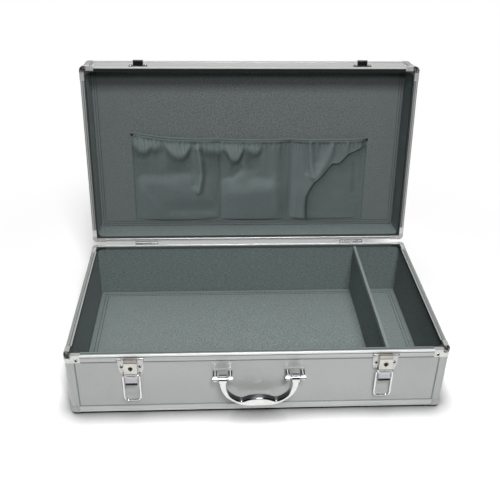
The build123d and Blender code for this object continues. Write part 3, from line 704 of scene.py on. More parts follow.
@dataclass(frozen=True)
class Cloth:
    """Woven nylon lining: crossing threads with uneven thickness, on the piece's own cloth map in metres."""

    name: str
    colour: Colour
    pitch: float = 1.7 * MM
    contrast: float = 0.56
    sheen: float = 0.05
    # Name of an attribute with painted light and shade, if any.
    slack: str = ""
    slack_share: float = 0.9
    fine_per_m: float = 620.0
    long_per_m: float = 90.0
    clouds_per_m: float = 22.0
    flecks_per_m: float = 270.0

    def material(self) -> Finish:
        """Weave the cloth, with painted light and shade read from an attribute where one is named.

        Returns:
            The material.
        """
        made = Recipe.paint(self.name)
        where = made.cloth_spot()
        turns = 2 * math.pi / self.pitch
        across = made.axis(where, "X") * turns
        up = made.axis(where, "Y") * turns
        weave = across.wave() * up.wave() * 0.5 + 0.5
        warp = made.speck(made.drawn(where, (self.fine_per_m, self.long_per_m, 1.0)), 1.0, 2.0)
        weft = made.speck(made.drawn(where, (self.long_per_m, self.fine_per_m, 1.0)), 1.0, 2.0)
        cloud = made.speck(where, self.clouds_per_m, 3.0)
        fleck = made.speck(where, self.flecks_per_m, 1.0)
        thread = warp.most(weft)
        height = weave * 0.65 + thread * 0.35
        light = tone(self.colour, 1 + self.contrast * 0.45)
        dark = tone(self.colour, 1 - self.contrast * 0.75)
        share = weave * 0.26 + thread.within(0.35, 0.75) * 0.32 + fleck.within(0.32, 0.68) * 0.32
        share = share + cloud * 0.10
        # Painted light and shade from the attribute: lighter on raised and upward cloth, darker under frills
        # and in hollows.
        if self.slack:
            drawn = made.node("ShaderNodeAttribute", {"attribute_name": self.slack}, None, "Fac")
            share = share + (drawn - 0.5) * self.slack_share
        return made.surface({
            "Base Color": made.blend(share, dark, light),
            "Roughness": 0.94 - thread * 0.12,
            "Specular IOR Level": 0.25,
            "Sheen Weight": self.sheen,
            "Sheen Roughness": 0.45,
            "Normal": made.relief(height, 0.45, 0.45 * MM),
        })


@dataclass(frozen=True)
class Thread:
    """Sewing thread with its twist showing."""

    name: str
    colour: Colour
    dimmed: float = 0.6
    twists_per_m: float = 1500.0

    def material(self) -> Finish:
        """Mix the thread.

        Returns:
            The material.
        """
        made = Recipe.paint(self.name)
        twist = made.speck(made.spot(), self.twists_per_m, 2.0)
        return made.surface({
            "Base Color": made.blend(twist, tone(self.colour, self.dimmed), tone(self.colour)),
            "Roughness": 0.7 + twist * 0.2,
            "Normal": made.relief(twist, 0.3, 0.2 * MM),
        })


class Bench:
    """Modelling operators on the piece in hand."""

    @staticmethod
    def take(*pieces: Thing) -> None:
        """Select these pieces alone and make the first one active."""
        if bpy.context.mode != "OBJECT":
            bpy.ops.object.mode_set(mode="OBJECT")
        bpy.ops.object.select_all(action="DESELECT")
        for piece in pieces:
            piece.select_set(True)
        bpy.context.view_layer.objects.active = pieces[0] if pieces else None

    @staticmethod
    def named(name: str) -> Thing:
        """Name the primitive that was just added, and hand it over.

        Args:
            name: its new name.

        Returns:
            The primitive.
        """
        piece = bpy.context.active_object
        piece.name = piece.data.name = name
        return piece

    @staticmethod
    def edit(piece: Thing) -> None:
        """Open a piece for editing with nothing selected.

        Args:
            piece: the piece.
        """
        Bench.take(piece)
        bpy.ops.object.mode_set(mode="EDIT")
        bpy.ops.mesh.select_all(action="DESELECT")

    @staticmethod
    def done() -> None:
        """Leave edit mode."""
        bpy.ops.object.mode_set(mode="OBJECT")

    @staticmethod
    def pick_faces(piece: Thing, test: Callable[[Vector, Vector], bool]) -> None:
        """Select the faces of a piece in edit mode by their middle and normal.

        Args:
            piece: the piece being edited.
            test: says of a middle and a normal whether the face is picked.
        """
        bpy.ops.mesh.select_mode(type="FACE")
        shape = bmesh.from_edit_mesh(piece.data)
        for face in shape.faces:
            face.select_set(test(face.calc_center_median(), face.normal))
        shape.select_flush_mode()
        bmesh.update_edit_mesh(piece.data)

    @staticmethod
    def pick_edges(piece: Thing, test: Callable[[Vector, Vector], bool]) -> None:
        """Select the edges of a piece in edit mode by their two ends.

        Args:
            piece: the piece being edited.
            test: says of two ends whether the edge is picked.
        """
        bpy.ops.mesh.select_mode(type="EDGE")
        shape = bmesh.from_edit_mesh(piece.data)
        for edge in shape.edges:
            edge.select_set(test(edge.verts[0].co, edge.verts[1].co))
        shape.select_flush_mode()
        bmesh.update_edit_mesh(piece.data)

    @staticmethod
    def settle(piece: Thing, place: Matrix | None = None) -> Thing:
        """Carry a piece to its place and apply it, so that its place is in its mesh.

        Args:
            piece: the piece.
            place: from the frame it was made in to the case's frame.

        Returns:
            The same piece.
        """
        if place is not None:
            bpy.context.view_layer.update()
            piece.matrix_world = place @ piece.matrix_world
        Bench.take(piece)
        bpy.ops.object.transform_apply(location=True, rotation=True, scale=True)
        return piece

    @staticmethod
    def modify(piece: Thing, kind: str, **settings: Any) -> Thing:
        """Add one modifier and apply it.

        Args:
            piece: the piece.
            kind: the modifier's type.
            settings: its settings.

        Returns:
            The same piece.
        """
        Bench.take(piece)
        step = piece.modifiers.new(kind.title(), kind)
        for key, value in settings.items():
            setattr(step, key, value)
        bpy.ops.object.modifier_apply(modifier=step.name)
        return piece

    @staticmethod
    def smooth(piece: Thing, angle: float = 35.0) -> Thing:
        """Shade a piece smooth where its faces meet at no more than an angle.

        Args:
            piece: the piece.
            angle: the widest angle in degrees that still looks round.

        Returns:
            The same piece.
        """
        Bench.take(piece)
        bpy.ops.object.shade_smooth_by_angle(angle=math.radians(angle))
        return piece

    @staticmethod
    def tidy(piece: Thing, reach: float = 2 * NEAR) -> Thing:
        """Merge points that meet and turn all faces outwards.

        Args:
            piece: the piece.
            reach: how far apart points may be to count as one.

        Returns:
            The same piece.
        """
        Bench.edit(piece)
        bpy.ops.mesh.select_all(action="SELECT")
        bpy.ops.mesh.remove_doubles(threshold=reach)
        bpy.ops.mesh.normals_make_consistent(inside=False)
        Bench.done()
        return piece

    @staticmethod
    def grid(name: str, across: int, up: int, shape: Callable[[float, float], Vector]) -> Thing:
        """Add a grid and lay each of its points by its two shares.

        Args:
            name: the piece's name.
            across: cells along the first share.
            up: cells along the second share.
            shape: gives a point for two shares from 0 to 1.

        Returns:
            The new sheet.
        """
        Bench.take()
        bpy.ops.mesh.primitive_grid_add(x_subdivisions=across, y_subdivisions=up, size=1.0)
        piece = Bench.named(name)
        for vertex in piece.data.vertices:
            vertex.co = shape(vertex.co.x + 0.5, vertex.co.y + 0.5)
        return piece

    @staticmethod
    def cylinder(name: str, sides: int, radius: float, depth: float, **stand: Sequence[float]) -> Thing:
        """Add a cylinder, upright about the origin where nothing else is said.

        Args:
            name: the piece's name.
            sides: how many sides it has.
            radius: its radius.
            depth: its length.
            stand: its location or rotation.

        Returns:
            The new cylinder, with its place in its mesh.
        """
        Bench.take()
        stand = {"location": (0, 0, 0), **stand}
        bpy.ops.mesh.primitive_cylinder_add(vertices=sides, radius=radius, depth=depth, **stand)
        return Bench.settle(Bench.named(name))

    @staticmethod
    def step(inset: float, rise: float) -> None:
        """Inset what is picked and lift the faces that are left."""
        bpy.ops.mesh.inset(thickness=inset, depth=0)
        bpy.ops.transform.translate(value=(0, 0, rise))

    @staticmethod
    def draw(rise: float) -> None:
        """Extrude what is picked straight up or down."""
        bpy.ops.mesh.extrude_region_move(TRANSFORM_OT_translate={"value": (0, 0, rise)})

    @staticmethod
    def copied(piece: Thing, place: Matrix) -> Thing:
        """Copy a piece with its own mesh to a place.

        Args:
            piece: the piece.
            place: where the copy goes.

        Returns:
            The copy.
        """
        twin = piece.copy()
        twin.data = piece.data.copy()
        bpy.context.scene.collection.objects.link(twin)
        return Bench.settle(twin, place)

    @staticmethod
    def joined(name: str, pieces: Sequence[Thing]) -> Thing:
        """Join pieces into one.

        Args:
            name: the new piece's name.
            pieces: what is joined.

        Returns:
            The joined piece.
        """
        Bench.take(*pieces)
        if len(pieces) > 1:
            bpy.ops.object.join()
        return Bench.named(name)

    @staticmethod
    def cloth_map(piece: Thing) -> Thing:
        """Give a piece a cloth map in metres, laid along each face's own plane.

        Args:
            piece: the piece, in its tray's frame.

        Returns:
            The same piece.
        """
        layer = piece.data.uv_layers.new(name="Cloth")
        for face in piece.data.polygons:
            size = [abs(part) for part in face.normal]
            flat = size.index(max(size))
            first, second = ((1, 2), (0, 2), (0, 1))[flat]
            for loop in face.loop_indices:
                spot = piece.data.vertices[piece.data.loops[loop].vertex_index].co
                layer.data[loop].uv = (spot[first], spot[second])
        return piece

    @staticmethod
    def dress(piece: Thing, material: Finish) -> Thing:
        """Give a piece one finish.

        Args:
            piece: the piece.
            material: its finish.

        Returns:
            The same piece.
        """
        if piece.material_slots:
            for slot in piece.material_slots:
                slot.material = material
        else:
            piece.data.materials.append(material)
        return piece


@dataclass(frozen=True)
class Span:
    """An upright box."""

    low: Vector
    high: Vector

    @classmethod
    def round(cls, spots: Sequence[Vector]) -> Span:
        """The box round some places."""
        axes = list(zip(*spots))
        return cls(Vector([min(axis) for axis in axes]), Vector([max(axis) for axis in axes]))

    @property
    def size(self) -> Vector:
        """Its width, depth and height."""
        return self.high - self.low

    @property
    def middle(self) -> Vector:
        """Its middle."""
        return (self.low + self.high) / 2


@dataclass(frozen=True)
class Tray:
    """One half of the case: its body, the way from its own frame to where it stands, and the nodes."""

    body: str
    place: Matrix
    nodes: Nodes

    @classmethod
    def base(cls, frame: Mapping[str, Any]) -> Tray:
        """The half that stands on the floor."""
        return cls("base", Matrix.Identity(4), frame["nodes"])

    @classmethod
    def lid(cls, frame: Mapping[str, Any]) -> Tray:
        """The half that is turned over and swung open on the hinge.

        Args:
            frame: the loaded frame, with its joints and nodes.

        Returns:
            The lid's tray.
        """
        joint = next(one for one in frame["joints"] if one["name"] == "lid_hinge")
        pin = Vector(joint["pos_m"])
        angle = math.radians(joint["range_deg"][0])
        swing = Matrix.Translation(pin) @ Matrix.Rotation(angle, 4, "X") @ Matrix.Translation(-pin)
        back = swing.inverted()
        top = max((back @ corner.co).z for corner in frame["nodes"]["lid_top_board"].data.vertices)
        over = Matrix.Translation((0, 0, top)) @ Matrix.Rotation(math.pi, 4, "X")
        return cls("lid", swing @ over, frame["nodes"])

    def span(self, node: str) -> Span:
        """Box of a node in this tray's own frame."""
        back = self.place.inverted()
        return Span.round([back @ corner.co for corner in self.nodes[node].data.vertices])

    def fit(self, piece: Thing) -> Thing:
        """Carry a piece made in the tray's frame to the case and let it ride there."""
        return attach(Bench.settle(piece, self.place), self.body)


@dataclass
class Shell:
    """Boards, aluminium edges, rims and corners of both halves, which keep their solids."""

    panel: Colour = (195, 197, 196)
    edge: Colour = (212, 215, 213)
    upright: Colour = (188, 191, 189)
    rim: Colour = (206, 209, 207)
    short_rim: Colour = (196, 200, 198)
    corner: Colour = (226, 227, 224)
    rim_polish: float = 0.28
    rim_metal: float = 0.45
    short_polish: float = 0.32
    short_metal: float = 0.4
    corner_polish: float = 0.24
    corner_metal: float = 0.6
    leg: float = 13.0 * MM
    # Half width of the painted shade lines beside the angles.
    dirt: float = 0.9 * MM
    strip_in: float = 4.2 * MM
    strip_half: float = 0.8 * MM
    rail_in: float = 0.5 * MM
    rail_half: float = 0.5 * MM
    groove_drop: float = 4.1 * MM
    groove_half: float = 0.6 * MM
    foot_half: float = 0.55 * MM
    bare: Mapping[tuple[str, str], float] = field(default_factory=lambda: {
        ("base", "front"): 3.2 * MM,
        ("base", "back"): 2.6 * MM,
        ("base", "side"): 8.2 * MM,
        ("lid", "front"): 2.7 * MM,
        ("lid", "back"): 5.8 * MM,
        ("lid", "side"): 5.8 * MM,
    })
    # Binding tones: the lining's colour on the base's front rim, elsewhere darkened as painted shade under
    # the rim, near black on the lid's front rim for the deep shade there.
    bound: Mapping[tuple[str, str], Colour] = field(default_factory=lambda: {
        ("base", "front"): (112, 121, 120),
        ("base", "back"): (70, 77, 76),
        ("lid", "front"): (24, 26, 25),
        ("lid", "back"): (56, 60, 59),
    })

    def dress(self, tray: Tray) -> None:
        """Give every node of one half's shell its finish.

        Args:
            tray: the half of the case.
        """
        half = tray.body
        reach = tray.span(f"{half}_rim_corners").high
        edge_x = tray.span(f"{half}_right_edge").high.x
        edge_y = tray.span("base_back_edge" if half == "base" else "lid_front_edge").high.y
        angle = self.leg + self.dirt
        levels = (Line("Z", angle, self.dirt), Line("Z", reach.z - angle, self.dirt))
        board = {
            side: Laminate(f"{half}_{side}_board", self.panel, tray, lines).material()
            for side, lines in {
                "long": (Line("X", edge_x - angle, self.dirt), *levels),
                "short": (Line("Y", edge_y - angle, self.dirt), *levels),
                "flat": (),
            }.items()
        }
        tones = {Grain.ACROSS: self.edge, Grain.DEEP: self.edge, Grain.UPRIGHT: self.upright}
        metal = {
            grain: Extrusion(f"{half}_edge_{grain.name.lower()}", colour, tray, grain).material()
            for grain, colour in tones.items()
        }
        # Lines of the rims' painted shade strips: the groove along the top, the line below the top edge, the
        # foot of the outer face and, on the short rims, the outer rail.
        groove = Line("Z", reach.z - self.groove_drop, self.groove_half)
        foot = Line("Z", reach.z - self.leg + self.foot_half, self.foot_half)
        long_shade_strips = (Line("Y", edge_y - self.strip_in, self.strip_half), groove, foot)
        rail = Line("X", edge_x - self.rail_in, self.rail_half)
        short_shade_strips = (Line("X", edge_x - self.strip_in, self.strip_half), rail, groove, foot)
        short_bind = Binding("X", edge_x, reach.z, self.bare[half, "side"])
        short_rim = Extrusion(
            f"{half}_short_rim", self.short_rim, tray, Grain.DEEP, self.short_polish, short_shade_strips, short_bind,
            metal=self.short_metal,
        ).material()
        corner = CornerPlating(
            f"{half}_corner_nickel", self.corner, self.corner_polish, self.corner_metal,
            tray=tray, reach=reach, front=-1.0 if half == "base" else 1.0,
        ).material()
        finishes = {
            "floor_board" if half == "base" else "top_board": board["flat"],
            "corner_angles": metal[Grain.UPRIGHT],
            "corner_caps": metal[Grain.UPRIGHT],
            "rim_corners": corner,
        }
        for side in ("front", "back"):
            bind = Binding("Y", edge_y, reach.z, self.bare[half, side])
            rim = Extrusion(
                f"{half}_{side}_rim", self.rim, tray, Grain.ACROSS, self.rim_polish, long_shade_strips, bind,
                self.bound[half, side], self.rim_metal, lip=reach.z - self.groove_drop,
            )
            finishes[f"{side}_board"] = board["long"]
            finishes[f"{side}_edge"] = metal[Grain.ACROSS]
            finishes[f"{side}_rim"] = rim.material()
        for side in ("left", "right"):
            finishes[f"{side}_board"] = board["short"]
            finishes[f"{side}_edge"] = metal[Grain.DEEP]
            finishes[f"{side}_rim"] = short_rim
        for name, finish in finishes.items():
            Bench.dress(tray.nodes[f"{half}_{name}"], finish)


@dataclass
class Hardware:
    """Hinges, latches, keepers and handle, which keep their solids, and the locks behind the keyholes."""

    chrome: Colour = (226, 226, 224)
    nickel: Colour = (150, 151, 150)
    cream: Colour = (214, 213, 205)
    dark: Colour = (66, 67, 68)
    plate: Colour = (196, 196, 195)
    post: Colour = (196, 197, 197)
    plug: Colour = (40, 38, 35)
    collar: Colour = (70, 68, 66)
    plug_r: float = 3.0 * MM
    plug_l: float = 2.4 * MM
    plug_behind: float = 1.3 * MM
    plug_bevel: float = 0.12 * MM
    slot_w: float = 0.7 * MM
    slot_d: float = 1.2 * MM
    slot_shape: tuple[float, float, float] = (0.55, 2.6, 1.0)
    cover_out: float = 7.6 * MM
    keyhole_z: float = 89.0 * MM
    collar_r: float = 3.3 * MM
    collar_t: float = 0.5 * MM
    collar_out: float = 0.2 * MM
    collar_hole: float = 2.05 * MM
    collar_bevel: float = 0.15 * MM
    tab_end: float = 3.4 * MM

    def dress(self, nodes: Nodes) -> None:
        """Give the fittings their platings.

        Args:
            nodes: the frame's nodes by name.
        """
        nickel = Plating("fitting_nickel", self.nickel, polish=0.20).material()
        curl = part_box("left_latch_lever")[0].z + self.tab_end
        low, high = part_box("right_handle_bracket")
        middle = (low.x + high.x) / 2
        lever = LeverPlating("lever_plating", self.cream, polish=0.26, metal=0.8, curl=curl)
        pairs = {
            "handle_bracket": PostPlating("post_plating", self.post, polish=0.18, middle=middle).material(),
            "hinge_base_leaf": nickel,
            "hinge_lid_leaf": nickel,
            "latch_plate": Plating("latch_nickel", self.plate, polish=0.18).material(),
            "latch_lever": lever.material(),
            "latch_loop": Plating("wire_chrome", self.chrome, polish=0.08).material(),
            "keeper": Plating("hook_nickel", self.dark, polish=0.22).material(),
        }
        for part, finish in pairs.items():
            for hand in ("left", "right"):
                Bench.dress(nodes[f"{hand}_{part}"], finish)
        for pins in ("hinge_pins", "latch_pins", "handle_pins"):
            Bench.dress(nodes[pins], nickel)
        Bench.dress(nodes["handle"], GripPlating("handle_chrome", self.chrome, polish=0.06).material())

    def locks(self) -> list[Thing]:
        """Turn the lock plugs, with their slots, behind the keyholes, and the collars round the keyholes.

        Returns:
            The plugs and collars.
        """
        brass = Plating("lock_plug", self.plug, polish=0.35).material()
        ring = Plating("lock_collar", self.collar, polish=0.22).material()
        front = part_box("base_front_rim")[0].y - self.cover_out
        made = []
        for hand in ("left", "right"):
            low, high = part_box(f"{hand}_latch_lever")
            middle = Vector(((low.x + high.x) / 2, front, self.keyhole_z))
            turn = Matrix.Translation(middle) @ Matrix.Rotation(math.pi / 2, 4, "X")
            behind = Matrix.Translation((0, 0, -self.plug_behind - self.plug_l / 2))
            plug = Bench.settle(self._plug(f"{hand}_lock_plug"), turn @ behind)
            collar = Bench.settle(self._collar(f"{hand}_lock_collar"), turn)
            for piece, finish in ((plug, brass), (collar, ring)):
                Bench.dress(piece, finish)
                made.append(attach(piece, f"{hand}_lever"))
        return made

    def _plug(self, name: str) -> Thing:
        """Turn one lock plug about z with its slot on top.

        Args:
            name: its name.

        Returns:
            The plug.
        """
        plug = Bench.cylinder(name, 28, self.plug_r, self.plug_l)
        Bench.edit(plug)
        Bench.pick_faces(plug, lambda spot, normal: normal.z > FACING)
        bpy.ops.mesh.inset(thickness=self.plug_r - self.slot_w, depth=0)
        bpy.ops.transform.resize(value=self.slot_shape)
        Bench.draw(-self.slot_d)
        Bench.done()
        Bench.modify(plug, "BEVEL", width=self.plug_bevel, segments=2, limit_method="ANGLE")
        return Bench.smooth(plug)

    def _collar(self, name: str) -> Thing:
        """Turn one keyhole collar about z, with its back just under z = 0.

        Args:
            name: its name.

        Returns:
            The collar.
        """
        collar = Bench.cylinder(name, 32, self.collar_r, self.collar_t, location=(0, 0, self.collar_out))
        Bench.edit(collar)
        Bench.pick_faces(collar, lambda spot, normal: abs(normal.z) > FACING)
        bpy.ops.mesh.inset(thickness=self.collar_r - self.collar_hole, depth=0)
        bpy.ops.mesh.bridge_edge_loops()
        Bench.done()
        Bench.modify(collar, "BEVEL", width=self.collar_bevel, segments=2, limit_method="ANGLE")
        Bench.tidy(collar)
        return Bench.smooth(collar)


@dataclass
class Rivets:
    """Pop rivets with a sunk middle painted near black as shade, in the places of the solid ones."""

    head_r: float = 2.5 * MM
    hole_r: float = 1.7 * MM
    hole_d: float = 0.75 * MM
    shank_l: float = 2.0 * MM
    brim: float = 0.25 * MM
    steel: Colour = (190, 191, 190)
    # Colour of the painted shade in the rivets' sunk middles.
    hollow: Colour = (22, 22, 22)
    dome: tuple[Place, ...] = ((0.20 * MM, 0.42 * MM), (0.28 * MM, 0.30 * MM), (0.18 * MM, 0.12 * MM))

    def model(self, finishes: Sequence[Finish]) -> Thing:
        """Model one rivet with its head's underside at z = 0.

        Args:
            finishes: of the head and of its sunk middle.

        Returns:
            The rivet.
        """
        rivet = Bench.cylinder("rivet", 24, self.head_r, self.shank_l)
        Bench.settle(rivet, Matrix.Translation((0, 0, self.brim - self.shank_l / 2)))
        Bench.edit(rivet)
        Bench.pick_faces(rivet, lambda spot, normal: normal.z > FACING)
        for inset, rise in self.dome:
            Bench.step(inset, rise)
        rim = self.head_r - self.hole_r - sum(inset for inset, _ in self.dome)
        bpy.ops.mesh.inset(thickness=rim, depth=0)
        Bench.draw(-self.hole_d)
        Bench.done()
        for finish in finishes:
            rivet.data.materials.append(finish)
        for face in rivet.data.polygons:
            face.material_index = 1 if math.hypot(face.center.x, face.center.y) < self.hole_r else 0
        return Bench.smooth(rivet, 50)

    @staticmethod
    def places(tray: Tray, node: Thing) -> list[Matrix]:
        """Read where a group of solid rivets sits.

        Args:
            tray: the half that they sit on.
            node: the group's node.

        Returns:
            For each rivet, the way from a rivet's own frame to its tray's.
        """
        Bench.take()
        twin = node.copy()
        twin.parent = None
        twin.data = node.data.copy()
        bpy.context.scene.collection.objects.link(twin)
        Bench.settle(twin, tray.place.inverted())
        Bench.edit(twin)
        bpy.ops.mesh.select_all(action="SELECT")
        bpy.ops.mesh.remove_doubles(threshold=NEAR / 2)
        bpy.ops.mesh.separate(type="LOOSE")
        Bench.done()
        found = []
        for part in list(bpy.context.selected_objects):
            spots = [corner.co.copy() for corner in part.data.vertices]
            span = Span.round(spots)
            sizes, middle = list(span.size), span.middle
            axis = sizes.index(max(sizes))
            beside = [other for other in range(3) if other != axis]
            wide = max(spots, key=lambda spot: sum((spot[k] - middle[k]) ** 2 for k in beside))
            way = Vector((0, 0, 0))
            way[axis] = 1.0 if wide[axis] > middle[axis] else -1.0
            middle[axis] = wide[axis]
            found.append(Matrix.Translation(middle) @ way.to_track_quat("Z", "Y").to_matrix().to_4x4())
            bpy.data.objects.remove(part)
        return found

    def build(self, trays: Sequence[Tray]) -> list[Thing]:
        """Set the rivets of both halves.

        Args:
            trays: the halves of the case.

        Returns:
            One piece of rivets for each half.
        """
        steel = Plating("rivet_steel", self.steel, polish=0.20).material()
        # The sunk middle is near black: painted shade in the hole.
        hollow = Plating("rivet_hollow", self.hollow, polish=0.5, metal=0.4).material()
        made = []
        for tray in trays:
            node = f"{tray.body}_rivets"
            spots = self.places(tray, tray.nodes[node])
            first = self.model((steel, hollow))
            copies = [Bench.copied(first, spot) for spot in spots]
            bpy.data.objects.remove(first)
            group = Bench.joined(f"{tray.body}_pop_rivets", copies)
            made.append(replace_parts(tray.fit(group), node))
        return made


@dataclass
class Stitches:
    """Rows of sewing thread, one short stitch copied along each run."""

    length: float = 3.2 * MM
    pitch: float = 4.6 * MM
    radius: float = 0.42 * MM
    thinned: float = 0.5
    sunk: float = 0.6

    def model(self) -> Thing:
        """Model one stitch along X, thin at both ends, half sunk in the cloth at z = 0.

        Returns:
            The stitch.
        """
        stitch = Bench.cylinder("stitch", 6, self.radius, self.length, rotation=(0, math.pi / 2, 0))
        Bench.edit(stitch)
        Bench.pick_faces(stitch, lambda spot, normal: abs(normal.x) > FACING)
        Bench.step(self.radius * self.thinned, -self.radius * self.sunk)
        Bench.done()
        return Bench.smooth(stitch, 60)

    def row(self, start: Vector, end: Vector) -> Thing:
        """Sew one straight run.

        Args:
            start: where the run starts.
            end: where it ends.

        Returns:
            The run of stitches.
        """
        run = end - start
        count = max(1, int(run.length / self.pitch))
        stitch = self.model()
        Bench.modify(
            stitch, "ARRAY", count=count, use_relative_offset=False, use_constant_offset=True,
            constant_offset_displace=(run.length / count, 0, 0),
        )
        way = run.normalized().to_track_quat("X", "Z").to_matrix().to_4x4()
        return Bench.settle(stitch, Matrix.Translation(start + run / count / 2) @ way)

    def through(self, spots: Sequence[Vector]) -> list[Thing]:
        """Sew along a bent line, run by run."""
        return [self.row(first, last) for first, last in zip(spots, spots[1:])]

    def frame(self, low: Place, high: Place, z: float) -> list[Thing]:
        """Sew round a rectangle at one height."""
        spots = [Vector((x, y, z)) for x, y in (low, (high[0], low[1]), high, (low[0], high[1]), low)]
        return self.through(spots)


@dataclass
class Cushion:
    """A thin foam panel under cloth: crowned, rounded at its edges, with sewn lines that pull it in."""

    tray: Tray
    node: str
    name: str
    crown: float = 0.8 * MM
    edge: float = 2.6 * MM
    borders: tuple[float, ...] = (9.0 * MM, 14.0 * MM)
    sunk: float = 0.55 * MM
    groove: float = 1.5 * MM
    fall: float = 26 * MM
    uneven: float = 0.22 * MM
    lumps_per_m: float = 24.0
    crowd: float = 1.7
    across: int = 170
    up: int = 120

    def top(self, span: Span, x: float, y: float) -> float:
        """Height of the cloth at a place.

        Args:
            span: the solid panel's box.
            x: place across.
            y: place up.

        Returns:
            The height in the tray's frame.
        """
        inset = min(x - span.low.x, span.high.x - x, y - span.low.y, span.high.y - y)
        past = max(0.0, self.edge - inset)
        rounded = self.edge - math.sqrt(max(0.0, self.edge**2 - past**2))
        lower = self.crown * math.exp(-((inset / self.fall) ** 2))
        sewn = sum(self.sunk * math.exp(-(((inset - line) / self.groove) ** 2)) for line in self.borders)
        soft = self.uneven * noise.noise(Vector((x * self.lumps_per_m, y * self.lumps_per_m, 3.1)))
        return span.high.z - rounded - lower - sewn + min(0.0, soft)

    def build(self, material: Finish) -> Thing:
        """Make the cushion.

        Args:
            material: its cloth.

        Returns:
            The cushion, riding on its half.
        """
        span = self.tray.span(self.node)

        def spread(share: float) -> float:
            """Crowd the grid's lines towards both edges."""
            side = 2 * share - 1
            return 0.5 + 0.5 * math.copysign(1 - (1 - abs(side)) ** self.crowd, side)

        def shape(first: float, second: float) -> Vector:
            """Lay one point of the top.

            Args:
                first: share across.
                second: share up.

            Returns:
                The point.
            """
            x = span.low.x + span.size.x * spread(first)
            y = span.low.y + span.size.y * spread(second)
            return Vector((x, y, self.top(span, x, y)))

        piece = Bench.grid(self.name, self.across, self.up, shape)
        Bench.edit(piece)
        bpy.ops.mesh.select_all(action="SELECT")
        bpy.ops.mesh.region_to_loop()
        Bench.draw(self.edge - span.size.z)
        bpy.ops.mesh.edge_face_add()
        Bench.done()
        Bench.tidy(piece)
        Bench.smooth(piece, 60)
        Bench.dress(Bench.cloth_map(piece), material)
        self.tray.fit(piece)
        return (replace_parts(piece, self.node), self.slot)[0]

    @property
    def slot(self) -> str:
        """The record's slot for the cushion's cloth."""
        return "floor" if self.tray.body == "base" else "lid_lining"


@dataclass
class WallCloth:
    """The lining of one half's four walls: one slightly slack strip, rounded in the corners."""

    tray: Tray
    thick: float = 0.8 * MM
    wall: float = 0.9
    turn: float = 3.0 * MM
    slack: float = 0.35 * MM
    lumps_per_m: tuple[float, float, float] = (14.0, 14.0, 20.0)
    cells: tuple[int, int] = (420, 16)

    def build(self, material: Finish) -> Thing:
        """Make the strip.

        Args:
            material: its cloth.

        Returns:
            The lining, riding on its half.
        """
        node = f"{self.tray.body}_wall_lining"
        span = self.tray.span(node)
        half = Vector((span.size.x / 2 - self.thick, span.size.y / 2 - self.thick))
        runs = self._runs(half.x, half.y)
        total = sum(length for length, _ in runs)

        def shape(first: float, second: float) -> Vector:
            """Lay one point of the strip's inner face.

            Args:
                first: share of the way round.
                second: share of the height.

            Returns:
                The point.
            """
            spot, inward = self._walk(runs, first * total)
            z = span.low.z + span.size.z * second
            lump = noise.noise(Vector((spot.x, spot.y, z)) * Vector(self.lumps_per_m))
            hang = math.sin(math.pi * second) * (0.6 + 0.4 * lump)
            spot = spot + inward * self.slack * hang
            return Vector((spot.x, spot.y, z))

        piece = Bench.grid(f"{self.tray.body}_lining", *self.cells, shape)
        Bench.tidy(piece)
        Bench.edit(piece)
        bpy.ops.mesh.select_all(action="SELECT")
        bpy.ops.mesh.normals_make_consistent(inside=True)
        Bench.done()
        Bench.modify(piece, "SOLIDIFY", thickness=self.thick * self.wall, offset=-1.0)
        Bench.smooth(piece, 60)
        Bench.dress(Bench.cloth_map(piece), material)
        self.tray.fit(piece)
        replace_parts(piece, node)
        return (piece, span.size.z)[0]

    def _runs(self, x: float, y: float) -> list[tuple[float, tuple[Vector, Vector, bool]]]:
        """List the straight runs and corner turns round the inside, with their lengths.

        Args:
            x: half the width inside.
            y: half the depth inside.

        Returns:
            Each length with the run's ends, or with the turn's start and hub, and whether it is a turn.
        """
        corners = [(-1, -1), (1, -1), (1, 1), (-1, 1)]
        made = []
        for index, (sx, sy) in enumerate(corners):
            nx, ny = corners[(index + 1) % 4]
            ahead = Vector((nx - sx, ny - sy)).normalized()
            start = Vector((sx * x, sy * y)) + ahead * self.turn
            end = Vector((nx * x, ny * y)) - ahead * self.turn
            made.append(((end - start).length, (start, end, False)))
            hub = Vector((nx * (x - self.turn), ny * (y - self.turn)))
            made.append((math.pi * self.turn / 2, (end, hub, True)))
        return made

    def _walk(
        self, runs: Sequence[tuple[float, tuple[Vector, Vector, bool]]], way: float
    ) -> tuple[Vector, Vector]:
        """Find a place along the strip and the way inwards there.

        Args:
            runs: the runs and turns.
            way: how far along they are followed.

        Returns:
            The place and the way inwards.
        """
        for length, (first, second, bent) in runs:
            if way <= length or (length, (first, second, bent)) == runs[-1]:
                share = min(1.0, way / length)
                if not bent:
                    ahead = (second - first).normalized()
                    return first.lerp(second, share), Vector((-ahead.y, ahead.x))
                arm = first - second
                angle = share * math.pi / 2
                turned = Vector((
                    arm.x * math.cos(angle) - arm.y * math.sin(angle),
                    arm.x * math.sin(angle) + arm.y * math.cos(angle),
                ))
                return second + turned, -turned.normalized()
            way -= length
        raise ValueError("past the end of the strip")


